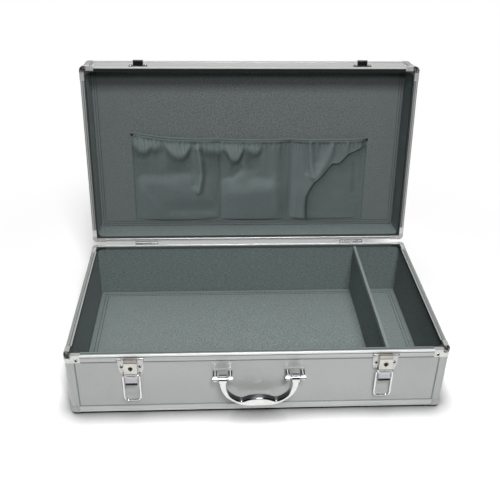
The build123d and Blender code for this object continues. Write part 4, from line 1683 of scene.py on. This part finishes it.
@dataclass
class Divider:
    """The cloth-covered partition and the binding along its top."""

    tray: Tray
    soft: float = 0.35 * MM
    lumps_per_m: float = 18.0
    rounding: float = 1.3 * MM
    binding_h: float = 9.0 * MM
    binding_t: float = 0.35 * MM
    binding_r: float = 1.7 * MM
    lip_h: float = 2.0 * MM
    notch: float = 0.2 * MM
    cuts_along: int = 59
    cuts_up: int = 11

    def build(self, cloth: Finish, bound: Finish) -> list[Thing]:
        """Make the partition and its binding.

        Args:
            cloth: the partition's cloth.
            bound: the binding's cloth.

        Returns:
            Both pieces.
        """
        span = self.tray.span("divider")
        step, half = self._notch(self.tray.nodes["divider"])
        under = span.high - Vector((0, 0, self.binding_t))
        panel = self._slab("divider_panel", span.low, under, self.rounding)
        for corner in panel.data.vertices:
            if corner.co.z > step:
                corner.co.y = max(-half, min(half, corner.co.y))
        Bench.dress(Bench.cloth_map(panel), cloth)
        self.tray.fit(panel)
        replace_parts(panel, "divider")
        out = Vector((self.binding_t, 0, 0))
        low = Vector((span.low.x, -half, span.high.z - self.binding_h)) - out
        high = Vector((span.high.x, half, span.high.z)) + out
        tape = self._slab("divider_binding", low, high, self.binding_r)
        Bench.edit(tape)
        Bench.pick_faces(tape, lambda spot, normal: normal.z < -FACING)
        bpy.ops.mesh.delete(type="FACE")
        Bench.done()
        Bench.modify(tape, "SOLIDIFY", thickness=self.binding_t, offset=-1.0)
        Bench.smooth(tape, 50)
        Bench.dress(Bench.cloth_map(tape), bound)
        self.tray.fit(tape)
        2 * self.binding_h + span.size.x
        return [panel, tape]

    def _notch(self, node: Thing) -> tuple[float, float]:
        """Read where the solid's ends step in under the rim's lips.

        Args:
            node: the partition's node.

        Returns:
            The height of the step and the half length above it.
        """
        spots = [corner.co for corner in node.data.vertices]
        top = max(spot.z for spot in spots)
        half = max(abs(spot.y) for spot in spots if spot.z > top - self.lip_h)
        return max(spot.z for spot in spots if abs(spot.y) > half + self.notch), half

    def _slab(self, name: str, low: Vector, high: Vector, rounding: float) -> Thing:
        """Make an upright slab with a rounded top and softly uneven faces.

        Args:
            name: its name.
            low: its lowest corner.
            high: its highest corner.
            rounding: size of the rounding along its top.

        Returns:
            The slab.
        """
        size = high - low
        Bench.take()
        bpy.ops.mesh.primitive_cube_add(size=1.0, location=(low + high) / 2, scale=size)
        slab = Bench.settle(Bench.named(name))
        Bench.edit(slab)
        Bench.pick_edges(slab, lambda a, b: min(a.z, b.z) > high.z - NEAR and abs(a.y - b.y) > size.y / 2)
        bpy.ops.mesh.bevel(offset=rounding, segments=4)
        Bench.pick_edges(slab, lambda a, b: abs(a.y - b.y) > size.y / 2)
        bpy.ops.mesh.subdivide(number_cuts=self.cuts_along)
        Bench.pick_edges(slab, lambda a, b: abs(a.z - b.z) > size.z / 2 and abs(a.x - b.x) < NEAR)
        bpy.ops.mesh.subdivide(number_cuts=self.cuts_up)
        Bench.done()
        for corner in slab.data.vertices:
            share = (corner.co.z - low.z) / size.z
            sway = noise.noise(Vector((corner.co.y * self.lumps_per_m, corner.co.z * self.lumps_per_m, 7.7)))
            corner.co.x += self.soft * sway * math.sin(math.pi * min(1.0, max(0.0, share)))
        return Bench.smooth(slab, 50)


def off_line(points: Sequence[Place], x: float, y: float) -> float:
    """Distance from a bent line, positive on the left of its run.

    Args:
        points: the line's corners.
        x: place across.
        y: place up.

    Returns:
        The signed distance.
    """
    best = math.inf
    for (ax, ay), (bx, by) in zip(points, points[1:]):
        run = math.hypot(bx - ax, by - ay)
        share = min(1.0, max(0.0, ((x - ax) * (bx - ax) + (y - ay) * (by - ay)) / run**2))
        gap = math.hypot(x - ax - share * (bx - ax), y - ay - share * (by - ay))
        if gap < abs(best):
            best = math.copysign(gap, (bx - ax) * (y - ay) - (by - ay) * (x - ax))
    return best


@dataclass(frozen=True)
class Fold:
    """A ridge or a valley in slack cloth along a bent line, in millimetres."""

    points: tuple[Place, ...]
    width: float
    lift: float

    def at(self, x: float, y: float) -> float:
        """Height that the fold adds at a place."""
        return self.lift * math.exp(-((off_line(self.points, x, y) / self.width) ** 2))


@dataclass(frozen=True)
class Flap:
    """A line where slack cloth lies over itself, in millimetres, high on the left of its run."""

    points: tuple[Place, ...]
    rise: float
    width: float
    reach: float

    def at(self, x: float, y: float) -> float:
        """Height that the flap adds at a place.

        Args:
            x: place across.
            y: place up.

        Returns:
            The height in millimetres.
        """
        away = off_line(self.points, x, y)
        over = ease(away, -self.width / 2, self.width / 2)
        return self.rise * over * math.exp(-max(0.0, away) / self.reach)


@dataclass(frozen=True)
class Frill:
    """Gathered cloth that hangs over itself below a hem, by the line of its lower edge, in millimetres."""

    edge: tuple[Place, ...]
    rise: float = 3.6
    step: float = 13.0
    hollow: float = 2.0
    reach: float = 26.0
    short: float = 5.5
    least_hang: float = 4.0
    full_hang: float = 30.0
    shade_hang: float = 24.0

    def at(self, x: float, y: float, hem: float) -> float:
        """Height that the frill adds at a place, less the hollow in its shade.

        Args:
            x: place across.
            y: place up.
            hem: height of the hem there.

        Returns:
            The height in millimetres.
        """
        edge = along(self.edge, x) + self.short
        above, hang = y - edge, max(0.0, hem - edge)
        full = ease(hang, self.least_hang, self.full_hang)
        over = ease(above, -self.step, self.step * 0.4) * (1 - 0.9 * ease(above, 0, max(6.0, hang)))
        under = math.exp(-((min(0.0, above) / self.reach) ** 2)) * (1 - ease(above, -self.step, 0.0))
        return full * (self.rise * over - self.hollow * under)

    def shade(self, x: float, y: float, hem: float) -> float:
        """Share of the frill's painted shade on the cloth under it, less than nought, as painted light, on
        the frill itself.

        Args:
            x: place across.
            y: place up.
            hem: height of the hem there.

        Returns:
            The share, fading downwards.
        """
        edge = along(self.edge, x) + self.short
        below, full = edge - y, ease(hem - edge, self.least_hang, self.shade_hang)
        fade = math.exp(-max(0.0, below / self.reach) ** 1.5)
        under = ease(below, -self.step * 0.3, self.step * 0.6) * fade
        return full * (under - 0.5 * (1 - ease(below, -self.step * 0.5, self.step * 0.3)))


@dataclass
class Pocket:
    """The lid's sewn pocket: slack cloth in three compartments under a piped hem. Sizes in millimetres."""

    tray: Tray
    seams: tuple[float, ...] = (-201.0, -55.0, 72.0, 206.0)
    low: float = -131.0
    hem: tuple[Place, ...] = (
        (-203.0, 30.5), (-171.0, 26.5), (-137.0, 22.5), (-102.0, 20.5), (-68.0, 19.5),
        (0.0, 18.5), (72.0, 18.5), (125.0, 18.5), (178.0, 19.5), (208.0, 20.5),
    )
    sides: tuple[tuple[Place, ...], ...] = (
        ((0.0, 1.2), (0.025, 5.0), (0.12, 7.0), (0.30, 8.6), (0.46, 9.4), (0.62, 8.0), (0.78, 8.6),
         (1.0, 7.0)),
        ((0.0, 1.2), (0.025, 5.8), (0.10, 8.0), (0.26, 9.2), (0.40, 8.8), (0.52, 6.4), (0.64, 4.6),
         (0.8, 6.2), (1.0, 7.0)),
        ((0.0, 1.2), (0.025, 3.8), (0.12, 4.0), (0.50, 4.2), (0.80, 4.6), (1.0, 6.0)),
    )
    cloth_t: float = 1.2
    flat: Place = (0.46, 0.166)
    piping_r: float = 2.2
    band: float = 6.2
    band_rise: float = 0.9
    side_over: float = 2.5
    foot_under: float = 3.0
    belly: float = 3.2
    seam_slope: float = 2.4
    ripple: float = 1.25
    ripple_pitch: float = 9.0
    lumps: float = 0.7
    droop: float = 0.12
    foot_droop: float = 0.22
    crease: float = 1.6
    stitch: float = 4.2
    rows: tuple[tuple[int, float, float], ...] = (
        (0, -0.5, 22.0), (2, -1.6, 10.0), (2, 1.6, 10.0), (3, 0.5, 12.0),
    )
    row_foot: float = 2.0
    row_off: float = 1.2
    row_in: float = 4.0
    stud_r: float = 1.8
    stud_h: float = 0.8
    stud_down: float = 3.5
    cells: tuple[int, int] = (320, 120)
    piping_cells: tuple[int, int] = (210, 12)
    pad_top: float = field(init=False, default=0.0)
    # Weights of the painted light and shade in the pocket cloth's attribute.
    slope_mark: float = 0.62
    under_mark: float = -0.16
    lean_mark: float = 0.34
    stand_mark: float = 0.09
    shade_mark: float = 0.30
    seam_mark: float = 0.42
    flap_share: float = 1.1
    flap_fade: float = 12.0
    folds: tuple[Fold, ...] = (
        Fold(((-89.5, 3.2), (-85.5, -17.0), (-83.4, -44.3), (-88.8, -73.0)), 5.0, 4.6),
        Fold(((-97.0, -4.0), (-95.0, -60.0)), 6.0, -2.2),
        Fold(((-193.0, -42.5), (-152.0, -43.7), (-110.0, -39.7)), 12.0, -2.4),
        Fold(((-186.0, -76.0), (-172.0, -92.0), (-159.0, -118.0)), 10.0, 1.8),
        Fold(((-128.0, -78.0), (-66.0, -88.0)), 16.0, 1.6),
        Fold(((-140.0, -112.0), (-90.0, -104.0), (-62.0, -112.0)), 13.0, -1.8),
        Fold(((-49.0, -10.0), (-47.0, -46.0), (-31.0, -47.0), (-18.0, -35.0)), 9.0, -3.4),
        Fold(((2.0, -20.0), (9.0, -48.0), (34.0, -52.0)), 9.0, -2.4),
        Fold(((-30.0, -80.0), (30.0, -74.0)), 14.0, 1.4),
        Fold(((48.0, 4.0), (46.0, -60.0), (52.0, -118.0)), 9.0, 1.8),
        Fold(((101.5, 10.0), (103.5, -40.0)), 3.5, -1.8),
        Fold(((107.5, 11.0), (109.4, -22.0), (113.0, -47.0)), 4.0, 2.8),
        Fold(((125.0, 8.0), (122.0, -20.0)), 5.0, -1.6),
        Fold(((146.0, 7.0), (136.5, -20.0), (120.0, -50.0)), 6.5, 3.0),
        Fold(((172.0, 11.0), (171.0, -2.0)), 4.0, 1.6),
        Fold(((188.0, -26.0), (191.0, -80.0)), 4.0, -1.2),
    )
    flap: Flap = Flap(
        ((103.4, -140.0), (102.1, -101.7), (103.1, -86.3), (109.9, -71.0), (118.3, -57.0), (129.0, -47.8),
         (139.5, -34.0), (148.2, -23.6), (154.5, -24.0), (161.1, -22.7), (169.4, -13.6), (175.6, -6.8),
         (190.7, -0.1), (209.0, 8.6)),
        6.4, 3.4, 40.0,
    )
    tuck: Flap = Flap(((-53.0, -150.0), (-53.0, -40.0), (-54.0, 12.0)), 3.6, 3.0, 16.0)
    frills: tuple[Frill, ...] = (
        Frill(
            ((-203.0, 4.0), (-195.3, -1.9), (-189.1, -6.4), (-178.3, -6.5), (-170.5, 0.2), (-161.9, -1.4),
             (-155.3, 2.4), (-147.7, 5.0), (-142.5, -1.0), (-133.1, -11.1), (-122.5, -16.1), (-111.5, -12.8),
             (-101.4, 1.0), (-95.8, 11.0), (-90.4, 8.8), (-80.0, -2.0), (-70.0, -6.0), (-55.0, -9.0)),
            3.2, 13.0, 1.4,
        ),
        Frill(
            ((-55.0, -12.0), (-47.3, -7.0), (-41.8, -6.4), (-37.0, -10.9), (-32.0, -19.9), (-24.4, -23.1),
             (-17.4, -19.5), (-13.4, -10.5), (-9.1, -2.7), (0.5, -6.0), (10.6, -9.7), (19.3, -5.0),
             (25.7, 7.2), (30.0, 11.2), (45.0, 14.0), (72.0, 14.0)),
        ),
    )

    def hem_at(self, x: float) -> float:
        """Height of the hem on the lid."""
        return along(self.hem, x)

    def lift(self, x: float, y: float) -> float:
        """Height of the cloth above the lid's pad.

        Args:
            x: place across the lid.
            y: place up the lid.

        Returns:
            The height in millimetres.
        """
        hem = self.hem_at(x)
        share, below = (y - self.low) / (hem - self.low), hem - y
        index = next((i for i in range(2) if x < self.seams[i + 1]), 2)
        left, right = self.seams[index], self.seams[index + 1]
        inside = min(1.0, max(0.0, (x - left) / (right - left)))
        bulge = 1 - abs(2 * inside - 1) ** self.belly
        edge = min(1.0, bulge * self.seam_slope)
        sewn = edge * ease(share, 0.02, 0.16)
        height = along(self.sides[index], share) * bulge
        loose = 1.0
        if index < len(self.frills):
            height += self.frills[index].at(x, y, hem) * edge
            height += self.tuck.at(x, y) * ease(share, 0.0, 0.06) * (1 - ease(share, 0.82, 0.95))
        else:
            loose = ease(off_line(self.flap.points, x, y), 0.0, 8.0)
            height += self.flap.at(x, y) * edge * ease(share, -0.02, 0.06)
        height += self._gathers(x, below) * (0.2 + 0.8 * edge) * (0.15 + 0.85 * loose)
        height += sum(fold.at(x, y) for fold in self.folds) * sewn
        height += self.lumps * noise.noise(Vector((x / 30, y / 22, 9.2))) * sewn
        height += self.band_rise * ease(y, hem - self.band - 0.9, hem - self.band)
        return max(self.cloth_t, height)

    def _gathers(self, x: float, below: float) -> float:
        """Height of the small gathers that run down from the hem's band.

        Args:
            x: place across the lid.
            below: depth below the hem.

        Returns:
            The height in millimetres.
        """
        phase = x / self.ripple_pitch + 1.6 * noise.noise(Vector((x / 24, 0.4, 1.3)))
        ripple = math.sin(2 * math.pi * phase) + 0.5 * math.sin(2 * math.pi * 1.9 * phase + 1.1)
        drop = max(6.0, 12 + 9 * noise.noise(Vector((x / 17, 4.4, 0.7))))
        start = ease(below, self.band - 1.0, self.band + 4.0)
        return self.ripple * ripple * start * math.exp(-max(0.0, below - self.band) / drop)

    def spot(self, x: float, y: float, above: float = 0.0) -> Vector:
        """Place on the cloth in the tray's frame.

        Args:
            x: place across the lid.
            y: place up the lid.
            above: height over the cloth.

        Returns:
            The place in metres.
        """
        share = (y - self.low) / (self.hem_at(x) - self.low)
        height = self.lift(x, y)
        hang = self.droop + self.foot_droop * (1 - ease(share, 0.03, 0.2))
        droop = hang * height * ease(share, 0.0, 0.03) * (1 - ease(share, 0.85, 1.0))
        return Vector((x * MM, (y - droop) * MM, self.pad_top + (height + above) * MM))

    def build(self, cloth: Finish, cord: Finish, thread: Finish, rivet: Finish) -> list[Thing]:
        """Sew the pocket.

        Args:
            cloth: the pocket's cloth.
            cord: the cloth of its piping.
            thread: its thread.
            rivet: finish of the studs at the hem's ends.

        Returns:
            The cloth, piping, stitches and studs.
        """
        self.pad_top = self.tray.span("lid_pad").high.z
        first, last = self.seams[0] - self.side_over, self.seams[-1] + self.side_over
        foot = self.low - self.foot_under

        def shape(across: float, up: float) -> Vector:
            """Lay one point of the cloth."""
            x = first + (last - first) * across
            return self.spot(x, foot + (self.hem_at(x) - foot) * up)

        sheet = Bench.grid("pocket_cloth", *self.cells, shape)
        self._mark_slack(sheet)
        Bench.modify(sheet, "SOLIDIFY", thickness=self.cloth_t * MM, offset=-1.0)
        Bench.smooth(sheet, 75)
        Bench.dress(Bench.cloth_map(sheet), cloth)
        piping = self._piping(first, last, cord)
        sewing = self._sewing(thread)
        studs = self._studs(rivet)
        for piece in (sheet, piping, sewing, studs):
            self.tray.fit(piece)
        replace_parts(sheet, "lid_pocket")
        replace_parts(piping, "pocket_elastic")
        return [sheet, piping, sewing, studs]

    def _mark_slack(self, sheet: Thing) -> None:
        """Paint light and shade into an attribute about one half: lighter where the cloth stands up or faces
        up or left, less dark on its down-facing slopes, and darker in the painted shade under frills, beside
        the flap and under the hem's band.

        Args:
            sheet: the cloth before it gets its thickness.
        """
        marks = sheet.data.attributes.new(PAINTED_LIGHT, "FLOAT", "POINT")
        spots = [corner.co / MM for corner in sheet.data.vertices]
        row, last = self.cells[0] + 1, len(spots) - 1
        for index, mark in enumerate(marks.data):
            left, right = spots[max(0, index - 3)], spots[min(last, index + 3)]
            under, over = spots[max(0, index - 3 * row)], spots[min(last, index + 3 * row)]
            rise = (under.z - over.z) / max(2.0, abs(over.y - under.y))
            lean = (right.z - left.z) / max(2.0, abs(right.x - left.x))
            stand = spots[index].z - (left.z + right.z + under.z + over.z) / 4
            tilt = rise * (self.slope_mark if rise > 0 else self.under_mark)
            raised = tilt + self.lean_mark * lean + self.stand_mark * stand
            shade = self._shade(spots[index].x, spots[index].y)
            mark.value = min(1.0, max(0.0, 0.5 + raised - shade))

    def _shade(self, x: float, y: float) -> float:
        """Painted shade on the cloth under the frills, on the low side of the flap and along the foot of the
        hem's band.

        Args:
            x: place across the lid.
            y: place up the lid.

        Returns:
            How much the mark is lowered.
        """
        hem = self.hem_at(x)
        if x < self.seams[2]:
            shade = self.frills[0 if x < self.seams[1] else 1].shade(x, y, hem)
        else:
            past = -off_line(self.flap.points, x, y)
            shade = self.flap_share * ease(past, -1.0, 3.0) * math.exp(-max(0.0, past) / self.flap_fade)
        drawn = 0.6 + 0.8 * noise.noise(Vector((x / 7, 3.1, 8.4)))
        line = math.exp(-(((hem - self.band - y) / self.crease) ** 2))
        return self.shade_mark * shade + self.seam_mark * max(0.0, drawn) * line

    def _piping(self, first: float, last: float, cloth: Finish) -> Thing:
        """Roll the piping along the hem.

        Args:
            first: where it starts across the lid.
            last: where it ends.
            cloth: its cloth.

        Returns:
            The piping.
        """

        def shape(across: float, round_it: float) -> Vector:
            """Lay one point of the roll.

            Args:
                across: share of the way along.
                round_it: share of the way round.

            Returns:
                The point.
            """
            x = first + (last - first) * across
            angle = 2 * math.pi * round_it
            radius = self.piping_r * (1 + 0.08 * noise.noise(Vector((x / 6, 2.0, 5.0)))) * MM
            middle = self.spot(x, self.hem_at(x), 0.2)
            return middle + Vector((0, math.cos(angle) * radius, math.sin(angle) * radius))

        roll = Bench.grid("pocket_piping", *self.piping_cells, shape)
        Bench.tidy(roll)
        Bench.edit(roll)
        bpy.ops.mesh.select_all(action="SELECT")
        bpy.ops.mesh.fill_holes(sides=0)
        bpy.ops.mesh.normals_make_consistent(inside=False)
        Bench.done()
        Bench.smooth(roll, 60)
        return Bench.dress(Bench.cloth_map(roll), cloth)

    def _sewing(self, thread: Finish) -> Thing:
        """Sew the sides, the seam between the second and the third compartment, the bottom and the hem.

        Args:
            thread: the thread's finish.

        Returns:
            All the stitches as one piece.
        """
        needle = Stitches(length=2.8 * MM, pitch=self.stitch * MM, radius=0.3 * MM)
        left, right, wide = self.seams[0], self.seams[-1], 2 * self.stitch
        runs: list[list[Place]] = []
        for seam, aside, top in self.rows:
            x = self.seams[seam] + aside
            runs.append([(x, y) for y in self._steps(self.low + self.row_foot, top, self.stitch)])
        foot = self._steps(left, right, wide)
        runs.append([(x, self.low - self.row_off) for x in foot])
        head = self._steps(left + self.row_in, right - self.row_in, wide)
        runs.append([(x, self.hem_at(x) - self.band + self.row_off) for x in head])
        made = []
        for run in runs:
            made += needle.through([self.spot(x, y, 0.1) for x, y in run])
        return Bench.dress(Bench.joined("pocket_stitches", made), thread)

    @staticmethod
    def _steps(first: float, last: float, pitch: float) -> list[float]:
        """Evenly spaced values from first to last."""
        count = max(1, round((last - first) / pitch))
        return [first + (last - first) * index / count for index in range(count + 1)]

    def _studs(self, material: Finish) -> Thing:
        """Set a small stud at each end of the hem.

        Args:
            material: their finish.

        Returns:
            Both studs as one piece.
        """
        made = []
        for x in (self.seams[0] - 1.0, self.seams[3] + 1.0):
            stud = Bench.cylinder("stud", 20, self.stud_r * MM, self.stud_h * MM)
            Bench.edit(stud)
            Bench.pick_faces(stud, lambda spot, normal: normal.z > FACING)
            Bench.step(0.4 * MM, 0.5 * MM)
            bpy.ops.mesh.inset(thickness=0.5 * MM, depth=0)
            Bench.draw(-0.6 * MM)
            Bench.done()
            Bench.smooth(stud, 50)
            place = self.spot(x, self.hem_at(x) - self.stud_down, 2 * self.stud_h)
            made.append(Bench.settle(stud, Matrix.Translation(place)))
        return Bench.dress(Bench.joined("hem_studs", made), material)


@dataclass
class Lining:
    """All the cloth inside the case."""

    base: Tray
    lid: Tray
    floor_tone: Colour = (121, 131, 130)
    wall_tone: Colour = (107, 118, 117)
    lid_wall_tone: Colour = (120, 131, 130)
    lid_tone: Colour = (108, 115, 114)
    pocket_tone: Colour = (99, 109, 108)
    piping_tone: Colour = (112, 121, 120)
    tape_tone: Colour = (138, 146, 144)
    thread_tone: Colour = (44, 48, 48)
    stud_tone: Colour = (58, 60, 60)
    wall_contrast: float = 0.74
    pocket_contrast: float = 0.66
    tape_pitch: float = 1.2 * MM
    stitch_out: float = 0.12 * MM

    def build(self) -> list[Thing]:
        """Line both halves and sew the pocket.

        Returns:
            Every piece of the lining.
        """
        wall = Cloth("wall_cloth", self.wall_tone, contrast=self.wall_contrast).material()
        lid_wall = Cloth("lid_wall_cloth", self.lid_wall_tone, contrast=self.wall_contrast).material()
        floor = Cloth("floor_cloth", self.floor_tone).material()
        panel = Cloth("lid_cloth", self.lid_tone).material()
        # The pocket cloth reads its painted light and shade from the attribute.
        slack = Cloth("pocket_cloth", self.pocket_tone, contrast=self.pocket_contrast, slack=PAINTED_LIGHT).material()
        tape = Cloth("binding_cloth", self.tape_tone, self.tape_pitch, contrast=0.2).material()
        cord = Cloth("piping_cloth", self.piping_tone, self.tape_pitch, contrast=0.4).material()
        thread = Thread("lining_thread", self.thread_tone).material()
        stud = Plating("stud_black", self.stud_tone, polish=0.3).material()
        made = [WallCloth(self.base).build(wall), WallCloth(self.lid).build(lid_wall)]
        cushions = (
            Cushion(self.base, "floor_pad", "floor_cushion"),
            Cushion(
                self.lid, "lid_pad", "lid_cushion", crown=0.5 * MM, edge=1.8 * MM,
                borders=(4.5 * MM, 8.5 * MM), sunk=0.45 * MM, groove=1.2 * MM,
            ),
        )
        for cushion, cloth in zip(cushions, (floor, panel)):
            made.append(cushion.build(cloth))
            made.append(self._border(cushion, thread))
        made += Divider(self.base).build(wall, tape)
        made += Pocket(self.lid).build(slack, cord, thread, stud)
        return made

    def _border(self, cushion: Cushion, thread: Finish) -> Thing:
        """Sew a cushion's border lines.

        Args:
            cushion: the cushion.
            thread: the thread's finish.

        Returns:
            The stitches, riding with the cushion.
        """
        span = cushion.tray.span(cushion.node)
        rows: list[Thing] = []
        for line in cushion.borders:
            low = (span.low.x + line, span.low.y + line)
            high = (span.high.x - line, span.high.y - line)
            height = cushion.top(span, low[0], span.middle.y)
            rows += Stitches().frame(low, high, height + self.stitch_out)
        sewing = Bench.dress(Bench.joined(f"{cushion.name}_stitches", rows), thread)
        return (cushion.tray.fit(sewing), cushion.slot)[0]


@dataclass(frozen=True)
class Lamp:
    """One soft square lamp that looks at the case."""

    name: str
    place: tuple[float, float, float]
    size: float
    power: float

    def hang(self, aim: Vector) -> None:
        """Hang the lamp so that it looks at a place.

        Args:
            aim: the place.
        """
        lamp = bpy.data.lights.new(self.name, "AREA")
        lamp.shape = "SQUARE"
        lamp.size = self.size
        lamp.energy = self.power
        hung = bpy.data.objects.new(self.name, lamp)
        look = (aim - Vector(self.place)).to_track_quat("-Z", "Y")
        hung.matrix_world = Matrix.Translation(self.place) @ look.to_matrix().to_4x4()
        bpy.context.scene.collection.objects.link(hung)


@dataclass
class Studio:
    """Pale floor, soft light and the camera."""

    stand: tuple[float, float, float] = (-0.0587, -0.9306, 0.7511)
    pitch: float = 31.241
    yaw: float = 3.158
    roll: float = 1.042
    focal_px: float = 714.6
    image_px: int = 500
    sensor_mm: float = 36.0
    near_clip: float = 0.01
    aim: tuple[float, float, float] = (0.0, 0.05, 0.15)
    floor_size: float = 24.0
    floor_drop: float = 0.4 * MM
    paper: tuple[Colour, Colour] = ((250, 250, 250), (255, 255, 255))
    shadow: Colour = (20, 20, 21)
    bounce: Colour = (132, 132, 132)
    near_floor: Place = (0.42, 0.80)
    front_floor: Place = (0.55, 0.95)
    lamps: tuple[Lamp, ...] = (
        Lamp("key_lamp", (0.20, -1.46, 1.82), 0.50, 31.0),
        Lamp("front_lamp", (0.05, -1.60, 1.26), 0.20, 9.0),
        Lamp("top_lamp", (-0.20, 0.40, 3.6), 2.0, 66.0),
    )
    sky: float = 0.044
    wall: float = 0.8
    room: float = 0.07
    shade_reach: float = 0.034
    shade_share: float = 1.5

    def build(self) -> None:
        """Set up the studio."""
        self._camera()
        self._floor()
        for lamp in self.lamps:
            lamp.hang(Vector(self.aim))
        self._sky()
        bpy.context.scene.view_settings.view_transform = "Standard"

    def _camera(self) -> None:
        """Stand the camera where the picture was taken from."""
        pitch, yaw, roll = (math.radians(angle) for angle in (self.pitch, self.yaw, self.roll))
        flat = Vector((math.sin(yaw), math.cos(yaw), 0))
        ahead = flat * math.cos(pitch) - Vector((0, 0, math.sin(pitch)))
        side = Vector((math.cos(yaw), -math.sin(yaw), 0))
        up = side.cross(ahead)
        right = side * math.cos(roll) + up * math.sin(roll)
        top = up * math.cos(roll) - side * math.sin(roll)
        lens = bpy.data.cameras.new("camera")
        lens.sensor_fit = "HORIZONTAL"
        lens.sensor_width = self.sensor_mm
        lens.lens = self.focal_px * lens.sensor_width / self.image_px
        lens.clip_start = self.near_clip
        eye = bpy.data.objects.new("camera", lens)
        turned = Matrix((right, top, -ahead)).transposed().to_4x4()
        eye.matrix_world = Matrix.Translation(self.stand) @ turned
        bpy.context.scene.collection.objects.link(eye)
        bpy.context.scene.camera = eye

    def _floor(self) -> None:
        """Lay the pale floor: paper that takes the case's shadow, with a painted contact shadow near the
        case, white where it is seen further off.
        """
        Bench.take()
        bpy.ops.mesh.primitive_plane_add(size=self.floor_size, location=(0, 0, -self.floor_drop))
        floor = Bench.named("studio_floor")
        made = Recipe.paint("studio_paper")
        where = made.spot()
        grain = made.speck(where, 220.0, 2.0)
        # Painted contact shadow: the paper's colour darkens where ambient occlusion finds the case close by.
        open_share = made.node("ShaderNodeAmbientOcclusion", None, {"Distance": self.shade_reach}, "AO")
        mirrored = made.ray(Ray.MIRRORED)
        shade = (1 - open_share) * self.shade_share * (1 - mirrored)
        colour = made.blend(grain, *(tone(part) for part in self.paper))
        colour = made.blend(shade, colour, tone(self.shadow))
        colour = made.blend(made.ray(Ray.SCATTERED), colour, tone(self.bounce))
        paper = made.node("ShaderNodeBsdfDiffuse", None, {"Color": colour, "Roughness": 0.4})
        ahead = (0 - made.axis(where, "Y")).within(*self.front_floor) * mirrored
        bright = made.blend(ahead, WHITE, (self.room, self.room, self.room, 1))
        glow = made.node("ShaderNodeEmission", None, {"Color": bright, "Strength": 1.0})
        away = made.node("ShaderNodeVectorMath", {"operation": "LENGTH"}, {0: where}, "Value")
        far = away.within(*self.near_floor) * self._seen(made)
        Bench.dress(floor, made.close(made.node("ShaderNodeMixShader", None, {0: far, 1: paper, 2: glow})))
        Bench.settle(floor)

    @staticmethod
    def _seen(made: Recipe) -> Sock:
        """One for rays that show the background, straight or in metal or glass."""
        return made.ray(Ray.SEEN).most(made.ray(Ray.THROUGH)).most(made.ray(Ray.MIRRORED))

    def _sky(self) -> None:
        """Light from all round, white where it is seen, with a darker room above and in front in mirrors."""
        world = bpy.data.worlds.new("studio")
        bpy.context.scene.world = world
        made = Recipe(world)
        way = made.node("ShaderNodeTexCoord", None, None, "Generated")
        above = made.axis(way, "Z").within(0.30, 0.60)
        front = (0 - made.axis(way, "Y")).within(-0.10, 0.45)
        shown = 1 - above.most(front) * made.ray(Ray.MIRRORED) * (1 - self.room)
        seen = self._seen(made)
        strength = made.ray(Ray.SEEN).most(seen * shown * self.wall + (1 - seen) * self.sky)
        light = made.node("ShaderNodeBackground", None, {"Color": WHITE, "Strength": strength})
        output = made.tree.nodes.new("ShaderNodeOutputWorld")
        made.tree.links.new(light.output, output.inputs["Surface"])


def main() -> None:
    """Load the frame, dress it, and report each piece."""
    logging.basicConfig(level=logging.INFO, format="%(name)s: %(message)s")
    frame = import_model()
    base, lid = Tray.base(frame), Tray.lid(frame)
    Studio().build()
    for tray in (base, lid):
        Shell().dress(tray)
    fittings = Hardware()
    fittings.dress(frame["nodes"])
    pieces = fittings.locks()
    pieces += Rivets().build((base, lid))
    pieces += Lining(base, lid).build()
    for piece in pieces:
        LOG.info("%s: %d faces on %s", piece.name, len(piece.data.polygons), piece["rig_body"])
    Bench.take()


if __name__ == "__main__":
    main()
